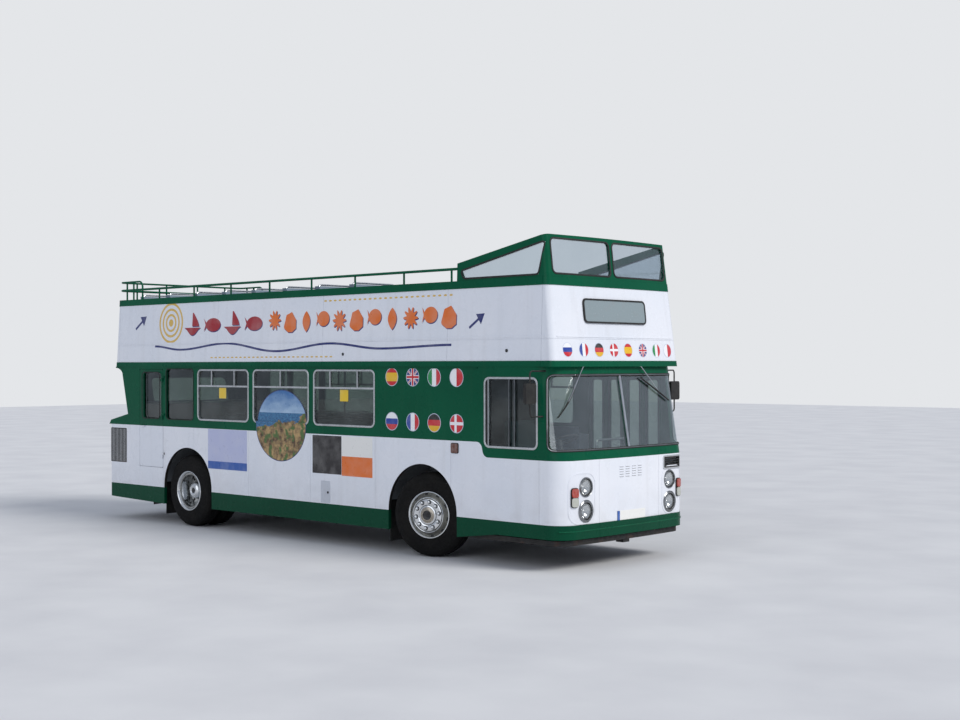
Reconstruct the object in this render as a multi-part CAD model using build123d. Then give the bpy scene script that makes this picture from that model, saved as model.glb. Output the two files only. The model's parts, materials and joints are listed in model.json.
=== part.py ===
"""Open top double decker bus: a rear engined, right hand drive double decker with a seated open deck.

Millimetres. +X is forward, +Y is the bus's left (the kerb side, with the entrance), +Z is up.
The origin is on the ground under the middle of the body. The front wheels stand turned to the left.
"""

import math
import os

from build123d import *

# Overall size of the body
LENGTH = 9300.0
WIDTH = 2440.0
HALF_LENGTH = LENGTH / 2
HALF_WIDTH = WIDTH / 2
WALL = 45.0
INNER = HALF_WIDTH - WALL
SEAM = 3.0
FIT = 0.3
DOOR_GAP = 5.0

# Heights of the body's lines
SKIRT_BOTTOM = 295.0
SKIRT_BOTTOM_FRONT = 375.0
SKIRT_BOTTOM_REAR = 330.0
SKIRT_TOP = 540.0
WAIST = SKIRT_TOP + 915.0
BELT_FRONT = WAIST - 180.0
BAND_TOP = WAIST + 895.0
EAVE_TOP = BAND_TOP + 68.0
PANEL_SEAM_Z = BAND_TOP + 322.0
PANEL_TOP = BAND_TOP + 940.0
CAPPING_TOP = PANEL_TOP + 95.0
SCREEN_TOP = CAPPING_TOP + 500.0
SCREEN_TAIL_TOP = CAPPING_TOP + 215.0
GUARD_Z = CAPPING_TOP + 150.0
REAR_GUARD_Z = CAPPING_TOP + 275.0

# Plan of the lower body
BUMPER_PROUD = 10.0
NOSE_X = HALF_LENGTH - BUMPER_PROUD
TAIL_X = -HALF_LENGTH
NOSE_CROWN = 25.0
NOSE_RADIUS = 260.0
TAIL_RADIUS = 90.0
STEP_REAR_X = NOSE_X - 1360.0
STEP_RUN = 40.0
STEP_CURVE = 90.0
SCREEN_LEAN = 180.0

# Plan of the upper deck, given at the band's top, and its lean for each millimetre of height
DECK_NOSE_X = NOSE_X - 135.0
DECK_TAIL_X = TAIL_X + 160.0
DECK_RADIUS = 75.0
DECK_CROWN = 22.0
DECK_NOSE_LEAN = 0.115
DECK_SIDE_LEAN = 0.038
DECK_TAIL_LEAN = 0.03

# Axles and wheels
FRONT_OVERHANG = 2278.0
REAR_OVERHANG = 2082.0
FRONT_AXLE_X = NOSE_X - FRONT_OVERHANG
REAR_AXLE_X = TAIL_X + REAR_OVERHANG
TYRE_RADIUS = 522.0
TYRE_WIDTH = 275.0
RIM_RADIUS = 283.0
RIM_BEAD = 254.0
FRONT_WHEEL_Y = HALF_WIDTH - 160.0
KINGPIN_Y = FRONT_WHEEL_Y - 160.0
OUTER_TWIN_Y = HALF_WIDTH - 158.0
TWIN_PITCH = 312.0
STEER_AT_REST = 15.0
KINGPIN_RADIUS = 20.0
SPINDLE_RADIUS = 38.0
RUNNING = 0.05
FRONT_ARCH_X = FRONT_AXLE_X - 12.0
FRONT_ARCH_R = TYRE_RADIUS + 78.0
FRONT_ARCH_Z = TYRE_RADIUS + 26.0
REAR_ARCH_X = REAR_AXLE_X + 1.0
REAR_ARCH_R = TYRE_RADIUS + 68.0
REAR_ARCH_Z = TYRE_RADIUS + 45.0

# Chassis and floors
RAIL_Y = 430.0
RAIL_WIDTH = 70.0
RAIL_PLATE = 10.0
RAIL_LOW = 410.0
RAIL_DEPTH = 160.0
RAIL_FRONT_X = NOSE_X - 1690.0
TOW_X = NOSE_X - 110.0
TOW_DEPTH = 40.0
TOW_RADIUS = 20.0
KICK_START_X = REAR_AXLE_X + 623.0
KICK_END_X = REAR_AXLE_X + 388.0
KICK_RISE = 230.0
ENGINE_FRONT_X = TAIL_X + 900.0
ENGINE_REAR_X = TAIL_X + 210.0
ENGINE_BOTTOM = 450.0
ENGINE_TOP = 1150.0
OUTRIGGER = 60.0
FLOOR_Z = 620.0
FLOOR_THICK = 50.0
PLATFORM_Z = 360.0
PLATFORM_THICK = 60.0
PLATFORM_REAR_X = NOSE_X - 1690.0
FLOOR_FRONT_X = NOSE_X - 1640.0
REAR_FLOOR_Z = 830.0
REAR_FLOOR_THICK = 30.0
REAR_STEP_X = REAR_AXLE_X + 648.0
BENCH_FRONT_X = TAIL_X + 950.0
BENCH_REAR_X = TAIL_X + 565.0
BENCH_Z = 1180.0
PLATE = 15.0
DECK_FLOOR_Z = BAND_TOP + 60.0
BOX_TOP = 1195.0
FRONT_BOX = (FRONT_AXLE_X - 672.0, FRONT_AXLE_X + 673.0, HALF_WIDTH - 690.0)
REAR_BOX = (REAR_AXLE_X - 632.0, REAR_AXLE_X + 633.0, HALF_WIDTH - 665.0)

# Entrance on the left and emergency door on the right
ENTRANCE_X0 = NOSE_X - 1590.0
ENTRANCE_X1 = NOSE_X - 390.0
ENTRANCE_TOP = BAND_TOP - 100.0
LEAF_THICK = 30.0
LEAF_SET_BACK = 8.0
MEET_GAP = 12.0
JAMB_GAP = 8.0
PIVOT_IN = 8.0
PIVOT_DEPTH = 24.0
PIVOT_RADIUS = 6.0
PIVOT_REACH = 15.0
BARREL = 7.0
HINGE_HALF = 40.0
FOLD_HINGES = (150.0, 900.0, 1650.0)
LEAF_BOTTOM = PLATFORM_Z + 12.0
EMERGENCY_X0 = TAIL_X + 845.0
EMERGENCY_X1 = TAIL_X + 1455.0
EMERGENCY_Z0 = 838.0
EMERGENCY_Z1 = 2310.0
EMERGENCY_HINGES = (WAIST - 455.0, WAIST + 135.0, BAND_TOP - 200.0)
HINGE_PROUD = 14.0

# Windscreen and cab window
SCREEN_Z0 = BELT_FRONT + 115.0
SCREEN_Z1 = BAND_TOP - 100.0
SCREEN_EDGE_LOW_X = NOSE_X - 250.0
SCREEN_EDGE_HIGH_X = NOSE_X - 295.0
SCREEN_POST = 14.0
GLASS = 8.0
CAB_WINDOW = (NOSE_X - 1240.0, NOSE_X - 395.0, SCREEN_Z0, BAND_TOP - 120.0)

# Stairs, from the platform to the upper deck
STEP_RISE = (DECK_FLOOR_Z - PLATFORM_Z) / 9
STAIR_X0 = NOSE_X - 2900.0
STAIR_X1 = NOSE_X - 1600.0
STAIR_INNER_Y = -500.0
STAIRWELL_X1 = NOSE_X - 1290.0
RAIL_TUBE = 16.0

# Side windows. Four even bays with pillars between them follow the two rear windows, up to the entrance's post
WINDOW_SILL = WAIST + 110.0
WINDOW_HEAD = BAND_TOP - 35.0
PILLAR = 90.0
BAYS_START = TAIL_X + 2330.0
BAY_PITCH = (ENTRANCE_X0 - 250.0 + PILLAR - BAYS_START) / 4
# Rear edge x, front edge x, sides (-1 right, 1 left), framed or not
SIDE_WINDOWS = [
    (TAIL_X + 944.0, TAIL_X + 1445.0, (1,), False),
    (TAIL_X + 1540.0, BAYS_START - 100.0, (-1, 1), False),
    (BAYS_START, BAYS_START + BAY_PITCH - PILLAR, (-1, 1), True),
    (BAYS_START + BAY_PITCH, BAYS_START + 2 * BAY_PITCH - PILLAR, (-1, 1), True),
    (BAYS_START + 2 * BAY_PITCH, BAYS_START + 3 * BAY_PITCH - PILLAR, (-1, 1), True),
    (BAYS_START + 3 * BAY_PITCH, BAYS_START + 4 * BAY_PITCH - PILLAR, (1,), True),
]
WINDOW_CORNER = 55.0
FRAME_FACE = 26.0
FRAME_PROUD = 6.0
TRANSOM_Z = BAND_TOP - 280.0

# Seams of the lower side panels, and of the front and rear faces
PANEL_SEAMS = (
    TAIL_X + 1470.0, TAIL_X + 2240.0, TAIL_X + 3533.0, FRONT_AXLE_X - 2141.0, FRONT_AXLE_X - 862.0,
    FRONT_AXLE_X + 488.0, NOSE_X - 378.0,
)
FRONT_SEAM_Y = HALF_WIDTH - 640.0
REAR_SEAM_Y = HALF_WIDTH - 238.0
DECK_SEAMS = (TAIL_X + 270.0, TAIL_X + 2790.0, NOSE_X - 4180.0, NOSE_X - 1860.0, NOSE_X - 350.0)

# Engine cover: half width, foot z, head z; its pivot pins
COVER = (HALF_WIDTH - 270.0, SKIRT_TOP + 25.0, WAIST - 20.0)
COVER_PIN = 4.0
COVER_PIN_IN = 7.0
COVER_PIN_REACH = 16.0
COVER_PIN_ROOT = 50.0

# Grilles, as the edges of their openings, and lamps
SIDE_GRILLE = (TAIL_X + 50.0, TAIL_X + 490.0, SKIRT_TOP + 330.0, WAIST - 55.0)
FRONT_GRILLE_Y = (HALF_WIDTH - 530.0, HALF_WIDTH - 170.0)
FRONT_GRILLE_Z = (BELT_FRONT - 170.0, BELT_FRONT - 30.0)
HEADLAMP_Y = HALF_WIDTH - 408.0
HEADLAMPS = ((SKIRT_TOP + 425.0, 108.0), (SKIRT_TOP + 150.0, 108.0))
HEADLAMP_RIM = 20.0
CORNER_LAMP_Y = (HALF_WIDTH - 235.0, HALF_WIDTH - 165.0)
CORNER_LAMP_Z = (SKIRT_TOP + 205.0, SKIRT_TOP + 425.0)
SIDE_LAMP = (STEP_REAR_X - 427.0, STEP_REAR_X - 294.0, WAIST - 155.0, WAIST - 25.0)
LAMP_PROUD = 14.0
REAR_LAMPS = (SKIRT_TOP + 100.0, SKIRT_TOP + 230.0, SKIRT_TOP + 360.0)
REAR_LAMP_Y = HALF_WIDTH - 160.0
REAR_LAMP_R = 50.0

# Rear wall of the lower saloon and the shelf over the power unit, side view: outer line, then inner line
REAR_WALL = (
    (TAIL_X + 340.0, BAND_TOP), (TAIL_X + 520.0, WAIST + 165.0), (TAIL_X + 50.0, WAIST + 65.0), (TAIL_X, WAIST),
)
REAR_WALL_INNER = (
    (TAIL_X + WALL, WAIST), (TAIL_X + 75.0, WAIST + 27.0), (BENCH_REAR_X, WAIST + 131.0), (TAIL_X + 388.0, BAND_TOP),
)
REAR_WINDOW = (HALF_WIDTH - 485.0, WAIST + 295.0, BAND_TOP - 170.0)
REAR_WINDOW_CORNER = 90.0

# Upper screen: the start of its tail, its side panes' corners (x, z), and its front panes (y0, y1, z0, z1)
SCREEN_TAIL_X = NOSE_X - 1720.0
SCREEN_SIDE_PANE = (
    (SCREEN_TAIL_X + 65.0, SCREEN_TAIL_TOP - 94.0), (SCREEN_TAIL_X + 110.0, CAPPING_TOP + 26.0),
    (NOSE_X - 417.0, CAPPING_TOP + 28.0), (NOSE_X - 340.0, SCREEN_TOP - 90.0),
)
SCREEN_FRONT_PANE = (30.0, HALF_WIDTH - 135.0, CAPPING_TOP + 40.0, SCREEN_TOP - 50.0)
SCREEN_WALL = 34.0
DISPLAY = (-610.0, 570.0, PANEL_TOP - 420.0, PANEL_TOP - 150.0)

# Guard rails: the posts' places as shares of the way along each side, the rear posts, and the tubes
GUARD_START_X = TAIL_X + 1280.0
GUARD_END_X = SCREEN_TAIL_X - 110.0
GUARD_SHARES = (0.0, 0.1432, 0.2872, 0.4294, 0.5746, 0.7159, 0.8646, 1.0)
REAR_POSTS = (TAIL_X + 410.0, TAIL_X + 590.0, TAIL_X + 830.0)
GUARD_BREAK_X = TAIL_X + 320.0
GUARD_RADIUS = 17.0
REAR_GUARD_RADIUS = 14.0
POST_RADIUS = 13.0

# Cab: floor, desk and steering wheel
CAB_FLOOR_Z = PLATFORM_Z + 320.0
CAB_INNER_Y = -260.0
COLUMN_DIR = (-0.35, 0.0, 0.94)
WHEEL_CENTRE = (NOSE_X - 495.0, -730.0, BELT_FRONT + 195.0)
HUB_BOTTOM = -55.0

# Steering arms
ARM_REACH = 170.0
ARM_Z = TYRE_RADIUS - 182.0
EYE_RADIUS = 14.0

# Mirrors and wipers
MIRROR_X = NOSE_X - 378.0
MIRROR_Z = (BAND_TOP - 425.0, BAND_TOP - 190.0)
MIRROR_Y = (HALF_WIDTH + 90.0, HALF_WIDTH + 270.0)
WIPERS = ((-767.0, -1010.0, BAND_TOP - 575.0), (334.0, 905.0, BAND_TOP - 520.0))

# Seats
SEAT_PITCH = 690.0
LOWER_SEAT_PITCH = 680.0
SEAT_INNER_Y = 300.0
SEAT_OUTER_Y = INNER - 50.0
SEAT_DEPTH = 400.0
CUSHION_THICK = 110.0
BACK_THICK = 60.0
SEAT_HEIGHT = 430.0
BACK_TOP = 1040.0

NODES = {}


def block(x0, x1, y0, y1, z0, z1):
    """A box between two opposite corners."""
    middle = Pos((x0 + x1) / 2, (y0 + y1) / 2, (z0 + z1) / 2)
    return middle * Box(abs(x1 - x0), abs(y1 - y0), abs(z1 - z0))


def across(face, y0, y1):
    """A side view, drawn as (x, z) in the XY plane, carried across the bus from y0 to y1."""
    return Pos(0, y1, 0) * Rot(90, 0, 0) * extrude(face, y1 - y0)


def along(face, x0, x1):
    """A front view, drawn as (y, z) in the XY plane, carried along the bus from x0 to x1."""
    return Pos(x0, 0, 0) * Rot(0, 0, 90) * Rot(90, 0, 0) * extrude(face, x1 - x0)


def polygon(*points):
    """A flat face bounded by straight lines."""
    return make_face(Polyline(*points, close=True))


def rounded(u0, u1, v0, v1, radius):
    """A flat rounded rectangle between two corners."""
    return Pos((u0 + u1) / 2, (v0 + v1) / 2) * RectangleRounded(u1 - u0, v1 - v0, radius)


def rod(start, end, radius):
    """A round bar between two points."""
    line = Vector(*end) - Vector(*start)
    return Plane(origin=start, z_dir=line) * extrude(Circle(radius), line.length)


def tube(points, bend, radius):
    """A round bar bent to one radius at each inner point."""
    path = FilletPolyline(*points, radius=bend)
    start = Plane(origin=path @ 0, z_dir=path % 0)
    return sweep(start * Circle(radius), path=path)


def both_sides(solid):
    """The solid and its mirror image on the other side of the bus."""
    return [solid, mirror(solid, about=Plane.XZ)]


def add(name, *solids):
    """Keep the solids of one sub-part under its name."""
    pieces = []
    for solid in solids:
        pieces.extend(solid.solids())
    NODES[name] = Compound(children=pieces) if len(pieces) > 1 else pieces[0]


def plan(nose_x, tail_x, half_width, nose_radius, tail_radius, crown, inset=0.0):
    """Plan of a body section: straight sides, round corners and a bowed nose, drawn in by inset."""
    nose_x -= inset
    tail_x += inset
    half = half_width - inset
    r = nose_radius - inset
    s = max(tail_radius - inset, 5.0)
    cheek = nose_x - crown
    d = math.sqrt(0.5)
    front, rear = cheek - r, tail_x + s
    yf, yr = half - r, half - s
    edges = [
        Line((rear, -half), (front, -half)),
        ThreePointArc((front, -half), (front + r * d, -yf - r * d), (cheek, -yf)),
        ThreePointArc((cheek, -yf), (nose_x, 0), (cheek, yf)),
        ThreePointArc((cheek, yf), (front + r * d, yf + r * d), (front, half)),
        Line((front, half), (rear, half)),
        ThreePointArc((rear, half), (rear - s * d, yr + s * d), (tail_x, yr)),
        Line((tail_x, yr), (tail_x, -yr)),
        ThreePointArc((tail_x, -yr), (rear - s * d, -yr - s * d), (rear, -half)),
    ]
    return make_face(edges)


def lower_plan(inset=0.0):
    """Plan of the lower body at its panels."""
    return plan(NOSE_X, TAIL_X, HALF_WIDTH, NOSE_RADIUS, TAIL_RADIUS, NOSE_CROWN, inset)


def lower_solid(z0, z1, inset=0.0):
    """The lower body's upright shape between two heights."""
    return extrude(Pos(0, 0, z0) * lower_plan(inset), z1 - z0)


def cab_solid(z0, z1, inset=0.0):
    """The leaning front of the cab between two heights, from the belt to the header."""
    sections = []
    for z in (z0, z1):
        nose = NOSE_X - SCREEN_LEAN * (z - BELT_FRONT) / (BAND_TOP - BELT_FRONT)
        face = plan(nose, 0.0, HALF_WIDTH, NOSE_RADIUS, TAIL_RADIUS, NOSE_CROWN, inset)
        sections.append(Pos(0, 0, z) * face)
    return loft(sections, ruled=True)


def deck_solid(z0, z1, inset=0.0):
    """The upper deck's leaning shape between two heights."""
    sections = []
    for z in (z0, z1):
        rise = z - BAND_TOP
        face = plan(
            DECK_NOSE_X - DECK_NOSE_LEAN * rise,
            DECK_TAIL_X + DECK_TAIL_LEAN * rise,
            HALF_WIDTH - DECK_SIDE_LEAN * rise,
            DECK_RADIUS,
            DECK_RADIUS,
            DECK_CROWN,
            inset,
        )
        sections.append(Pos(0, 0, z) * face)
    return loft(sections, ruled=True)


def deck_side(z, inset=0.0):
    """Half the width of the upper deck at a height."""
    return HALF_WIDTH - DECK_SIDE_LEAN * (z - BAND_TOP) - inset


def arch_cut(x, z, r, y0, y1):
    """A wheel arch through a side wall, open at the bottom."""
    outline = [
        Line((x - r, -10), (x - r, z)),
        ThreePointArc((x - r, z), (x, z + r), (x + r, z)),
        Line((x + r, z), (x + r, -10)),
        Line((x + r, -10), (x - r, -10)),
    ]
    return across(make_face(outline), y0, y1)


def arches():
    """The four wheel arches."""
    cuts = []
    for side in (-1, 1):
        y0, y1 = sorted((side * (HALF_WIDTH - 320), side * (HALF_WIDTH + 80)))
        cuts.append(arch_cut(FRONT_ARCH_X, FRONT_ARCH_Z, FRONT_ARCH_R, y0, y1))
        cuts.append(arch_cut(REAR_ARCH_X, REAR_ARCH_Z, REAR_ARCH_R, y0, y1))
    return cuts


def entrance_cut():
    """The entrance opening in the left side."""
    return block(ENTRANCE_X0, ENTRANCE_X1, INNER - 100, HALF_WIDTH + 100, PLATFORM_Z, ENTRANCE_TOP)


def emergency_cut():
    """The emergency door's opening in the right side, a door gap larger than the door."""
    g = DOOR_GAP
    return block(
        EMERGENCY_X0 - g, EMERGENCY_X1 + g, -HALF_WIDTH - 100, -INNER + 100,
        EMERGENCY_Z0 - g, EMERGENCY_Z1 + g,
    )


def emergency_hinges(heights):
    """The body's halves of the emergency door's hinges."""
    x, y = EMERGENCY_X1 + DOOR_GAP, -HALF_WIDTH - HINGE_PROUD
    halves = None
    for z in heights:
        middle = z + 45 + FIT / 2
        half = Pos(x, y, middle) * Cylinder(9, 30 - FIT)
        half += block(x, x + 40, y - 4, y + 4, middle - 14, middle + 14)
        half += block(x + 14, x + 40, y, -HALF_WIDTH, middle - 14, middle + 14)
        halves = half if halves is None else halves + half
    return halves


def above_belt():
    """Everything in the side view over the line between the lower panels and the green band."""
    start, end = STEP_REAR_X + STEP_CURVE * 0.8, STEP_REAR_X + STEP_CURVE * 0.8 + STEP_RUN
    top = BAND_TOP + 600
    face = polygon(
        (-LENGTH, WAIST), (start, WAIST), (end, BELT_FRONT), (LENGTH, BELT_FRONT), (LENGTH, top), (-LENGTH, top)
    )
    corners = [v for v in face.vertices() if start - 1 < v.X < end + 1]
    return across(fillet(corners, STEP_CURVE), -WIDTH, WIDTH)


def chassis():
    """Two channel rails with a kick over the rear axle and a cradle for the power unit."""
    top = RAIL_LOW + RAIL_DEPTH
    outline = polygon(
        (RAIL_FRONT_X, RAIL_LOW), (RAIL_FRONT_X, top), (KICK_START_X, top),
        (KICK_END_X, top + KICK_RISE), (ENGINE_FRONT_X, top + KICK_RISE),
        (ENGINE_FRONT_X, ENGINE_BOTTOM), (ENGINE_REAR_X, ENGINE_BOTTOM),
        (ENGINE_REAR_X, ENGINE_BOTTOM - 50), (ENGINE_FRONT_X + 70, ENGINE_BOTTOM - 50),
        (ENGINE_FRONT_X + 70, RAIL_LOW + KICK_RISE), (KICK_END_X, RAIL_LOW + KICK_RISE),
        (KICK_START_X, RAIL_LOW),
    )
    rail = across(outline, RAIL_Y - RAIL_WIDTH / 2, RAIL_Y + RAIL_WIDTH / 2)
    pocket_face = offset(outline, amount=-RAIL_PLATE, kind=Kind.INTERSECTION)
    pocket = across(pocket_face, RAIL_Y - RAIL_WIDTH / 2 + RAIL_PLATE, RAIL_Y + RAIL_WIDTH)
    add("chassis_rails", *both_sides(rail - pocket))

    inside = RAIL_Y - RAIL_WIDTH / 2
    outside = RAIL_Y + RAIL_WIDTH / 2
    members = []
    stations = (RAIL_FRONT_X - 70, FRONT_AXLE_X - 862, 300, -900, REAR_AXLE_X + 368, REAR_AXLE_X - 732)
    for x, rise in zip(stations, (0, 0, 0, 0, KICK_RISE, KICK_RISE)):
        z0 = RAIL_LOW + rise + 15
        channel = block(x - 30, x + 30, -inside, inside, z0, z0 + 120)
        channel -= block(x - 22, x + 40, -inside, inside, z0 + 8, z0 + 112)
        members.append(channel)
    for x in (FRONT_AXLE_X - 962, 300, -800, REAR_AXLE_X + 818):
        outrigger = front_arm(outside, INNER - FIT, top)
        for arm in both_sides(Pos(x, 0, 0) * outrigger):
            members.append(arm)
    bracket = block(TOW_X - 60, TOW_X + 50, -60, 60, PLATFORM_Z - PLATFORM_THICK - TOW_DEPTH, PLATFORM_Z - PLATFORM_THICK)
    bracket -= Pos(TOW_X, 0, PLATFORM_Z - PLATFORM_THICK - TOW_DEPTH / 2) * Cylinder(TOW_RADIUS, TOW_DEPTH)
    members.append(bracket)
    add("cross_members", *members)


def front_arm(y0, y1, z):
    """An outrigger from a rail to the skirt, under the floor."""
    face = polygon((y0, z), (y1, z), (y1, z - OUTRIGGER), (y0, z - OUTRIGGER))
    return along(face, -25, 25)


def axles():
    """The front beam with its leaf springs, and the rear axle with its springs."""
    top = RAIL_LOW
    beam_z = 310.0
    beam = block(FRONT_AXLE_X - 45, FRONT_AXLE_X + 45, -700, 700, beam_z - 50, beam_z + 50)
    beam -= block(FRONT_AXLE_X + 12, FRONT_AXLE_X + 60, -640, 640, beam_z - 30, beam_z + 30)
    beam -= block(FRONT_AXLE_X - 60, FRONT_AXLE_X - 12, -640, 640, beam_z - 30, beam_z + 30)
    for side in (-1, 1):
        face = polygon((700, 260), (848, 450), (862, 600), (790, 600), (700, 360))
        arm = along(face, FRONT_AXLE_X - 40, FRONT_AXLE_X + 40)
        boss = Pos(FRONT_AXLE_X, KINGPIN_Y, 520) * Cylinder(48, 160)
        arm = arm + boss
        arm -= Pos(FRONT_AXLE_X, KINGPIN_Y, 520) * Cylinder(KINGPIN_RADIUS + RUNNING, 200)
        beam += arm if side > 0 else mirror(arm, about=Plane.XZ)
    for side in (-1, 1):
        y = side * RAIL_Y
        spring = across(
            polygon(
                (FRONT_AXLE_X - 620, top), (FRONT_AXLE_X - 560, top), (FRONT_AXLE_X - 100, top - 24),
                (FRONT_AXLE_X + 100, top - 24), (FRONT_AXLE_X + 480, top), (FRONT_AXLE_X + 540, top),
                (FRONT_AXLE_X + 540, top - 16), (FRONT_AXLE_X + 100, beam_z + 50),
                (FRONT_AXLE_X - 100, beam_z + 50), (FRONT_AXLE_X - 620, top - 16),
            ),
            y - 38, y + 38,
        )
        beam += spring
    add("front_axle", beam)

    z = TYRE_RADIUS
    rear = Pos(REAR_AXLE_X, 0, z) * Rot(90, 0, 0) * Cylinder(78, 1180)
    rear += Pos(REAR_AXLE_X, 120, z) * Rot(90, 0, 0) * Cylinder(190, 150)
    rear += Pos(REAR_AXLE_X, 120, z) * Rot(90, 0, 0) * Cylinder(120, 260)
    rear -= block(REAR_AXLE_X - 300, REAR_AXLE_X + 300, -100, 400, RAIL_LOW + KICK_RISE + 60, z + 300)
    for side in (-1, 1):
        tip = Pos(REAR_AXLE_X, side * 829, z) * Rot(90, 0, 0) * Cylinder(SPINDLE_RADIUS, 498)
        rear += tip
    for side in (-1, 1):
        y = side * RAIL_Y
        low = RAIL_LOW + KICK_RISE
        rear += across(
            polygon(
                (REAR_AXLE_X - 680, low), (REAR_AXLE_X - 620, low), (REAR_AXLE_X - 100, low - 20),
                (REAR_AXLE_X + 100, low - 20), (REAR_AXLE_X + 330, low), (REAR_AXLE_X + 385, low),
                (REAR_AXLE_X + 385, low - 16), (REAR_AXLE_X + 100, low - 62),
                (REAR_AXLE_X - 100, low - 62), (REAR_AXLE_X - 680, low - 16),
            ),
            y - 38, y + 38,
        )
    add("rear_axle", rear)


def tyre_profile(y):
    """Half section of a tyre about its own axis, as (radius, distance along the axis)."""
    w = TYRE_WIDTH / 2
    r = TYRE_RADIUS
    return polygon(
        (RIM_BEAD, y - 94.7), (RIM_RADIUS + 1, y - 96.7), (RIM_RADIUS + 23, y - 118), (400, y - w),
        (r - 55, y - w + 10),
        (r - 10, y - w + 32), (r, y - w + 62), (r, y + w - 62), (r - 10, y + w - 32),
        (r - 55, y + w - 10), (400, y + w), (RIM_RADIUS + 23, y + 118), (RIM_RADIUS + 1, y + 96.7),
        (RIM_BEAD, y + 94.7),
    )


def wheel_turn(profile):
    """A section drawn as (radius, y) turned about the wheel's axis, which is Y."""
    return revolve(profile, axis=Axis.Y)


def rim_profile(y, dish_y, hub_radius):
    """Half section of a wheel rim, its gutter and its disc standing at dish_y."""
    return polygon(
        (RIM_BEAD - FIT, y - 95), (RIM_RADIUS, y - 97), (RIM_RADIUS, y - 110),
        (RIM_BEAD - 14, y - 108), (RIM_BEAD - 22, y - 60), (RIM_BEAD - 22, dish_y - 12),
        (170, dish_y - 8), (hub_radius, dish_y - 8), (hub_radius, dish_y + 8), (170, dish_y + 8),
        (RIM_BEAD - 22, dish_y + 22), (RIM_BEAD - 22, y + 60), (RIM_BEAD - 14, y + 108),
        (RIM_RADIUS, y + 110), (RIM_RADIUS, y + 97), (RIM_BEAD - FIT, y + 95),
    )


def hand_holes(count, pitch_radius, hole, y):
    """Round openings through a wheel's disc."""
    cuts = []
    for i in range(count):
        turn = Rot(0, 360.0 * i / count, 0)
        cuts.append(turn * Pos(pitch_radius, y, 0) * Rot(90, 0, 0) * Cylinder(hole, 120))
    return cuts


def wheels():
    """Tyres and wheels. Each is drawn about the Y axis with +Y outwards and then set in place."""
    front_tyre = wheel_turn(tyre_profile(0))
    front_rim = wheel_turn(rim_profile(0, 62, 60))
    hub = wheel_turn(
        polygon((SPINDLE_RADIUS + RUNNING, -72), (205, -72), (205, 30), (110, 38), (98, 130), (70, 152),
                (0, 152), (0, 122), (SPINDLE_RADIUS + RUNNING, 122))
    )
    front_wheel = front_rim + hub
    front_wheel -= hand_holes(10, 205, 19, 62)
    rear_tyres = [wheel_turn(tyre_profile(0)), wheel_turn(tyre_profile(-TWIN_PITCH))]
    outer_rim = wheel_turn(rim_profile(0, -88, 60))
    inner_rim = wheel_turn(rim_profile(-TWIN_PITCH, -TWIN_PITCH + 88, 60))
    rear_hub = wheel_turn(
        polygon((SPINDLE_RADIUS + RUNNING, -430), (205, -430), (205, -290), (110, -250), (120, -60), (112, 28),
                (92, 46), (0, 46), (0, 20), (SPINDLE_RADIUS + RUNNING, 20))
    )
    spacer = wheel_turn(polygon((100, -TWIN_PITCH + 90), (180, -TWIN_PITCH + 90), (180, -90), (100, -90)))
    rear_wheel = outer_rim + inner_rim + rear_hub + spacer
    rear_wheel -= hand_holes(8, 208, 20, -88)

    for side, name in ((-1, "right"), (1, "left")):
        flip = Rot(0, 0, 180) if side < 0 else Rot(0, 0, 0)
        kingpin = Pos(FRONT_AXLE_X, side * KINGPIN_Y, 0)
        steer = kingpin * Rot(0, 0, STEER_AT_REST)
        reach = FRONT_WHEEL_Y - KINGPIN_Y
        front = steer * Pos(0, side * reach, TYRE_RADIUS) * flip
        add("tyre_front_" + name, front * front_tyre)
        add("wheel_front_" + name, front * front_wheel)
        rear = Pos(REAR_AXLE_X, side * OUTER_TWIN_Y, TYRE_RADIUS) * flip
        add("tyres_rear_" + name, *[rear * tyre for tyre in rear_tyres])
        add("wheels_rear_" + name, rear * rear_wheel)
        add("knuckle_" + name, steer * knuckle(side))
    add("track_rod", track_rod())




def knuckle(side):
    """Steering knuckle about its kingpin: a fork, the pin, the stub axle and the steering arm."""
    z = TYRE_RADIUS
    fork = block(-40, 40, 54, 84, 395, 645)
    fork += Pos(0, 0, 622) * Cylinder(44, 40)
    fork += Pos(0, 0, 416) * Cylinder(44, 40)
    fork += block(-40, 40, 0, 60, 602, 642)
    fork += block(-40, 40, 0, 60, 396, 436)
    fork += Pos(0, 0, 520) * Cylinder(KINGPIN_RADIUS, 200)
    start = 60.0
    end = FRONT_WHEEL_Y - KINGPIN_Y + 118
    fork += Pos(0, (start + end) / 2, z) * Rot(90, 0, 0) * Cylinder(SPINDLE_RADIUS, end - start)
    arm = polygon((-22, 400), (-22, ARM_Z + 10), (22, ARM_Z + 10), (22, 400))
    fork += along(arm, -30, 30)
    lever = block(-ARM_REACH, 20, -22, 22, ARM_Z - 6, ARM_Z + 14)
    lever += Pos(-ARM_REACH, 0, ARM_Z + 4) * Cylinder(26, 20)
    lever -= Pos(-ARM_REACH, 0, ARM_Z + 4) * Cylinder(EYE_RADIUS + RUNNING, 60)
    fork += lever
    return fork if side > 0 else mirror(fork, about=Plane.XZ)


def arm_eye(side):
    """Where a steering arm's eye stands at rest."""
    turn = math.radians(STEER_AT_REST)
    return (FRONT_AXLE_X - ARM_REACH * math.cos(turn), side * KINGPIN_Y - ARM_REACH * math.sin(turn))


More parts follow.
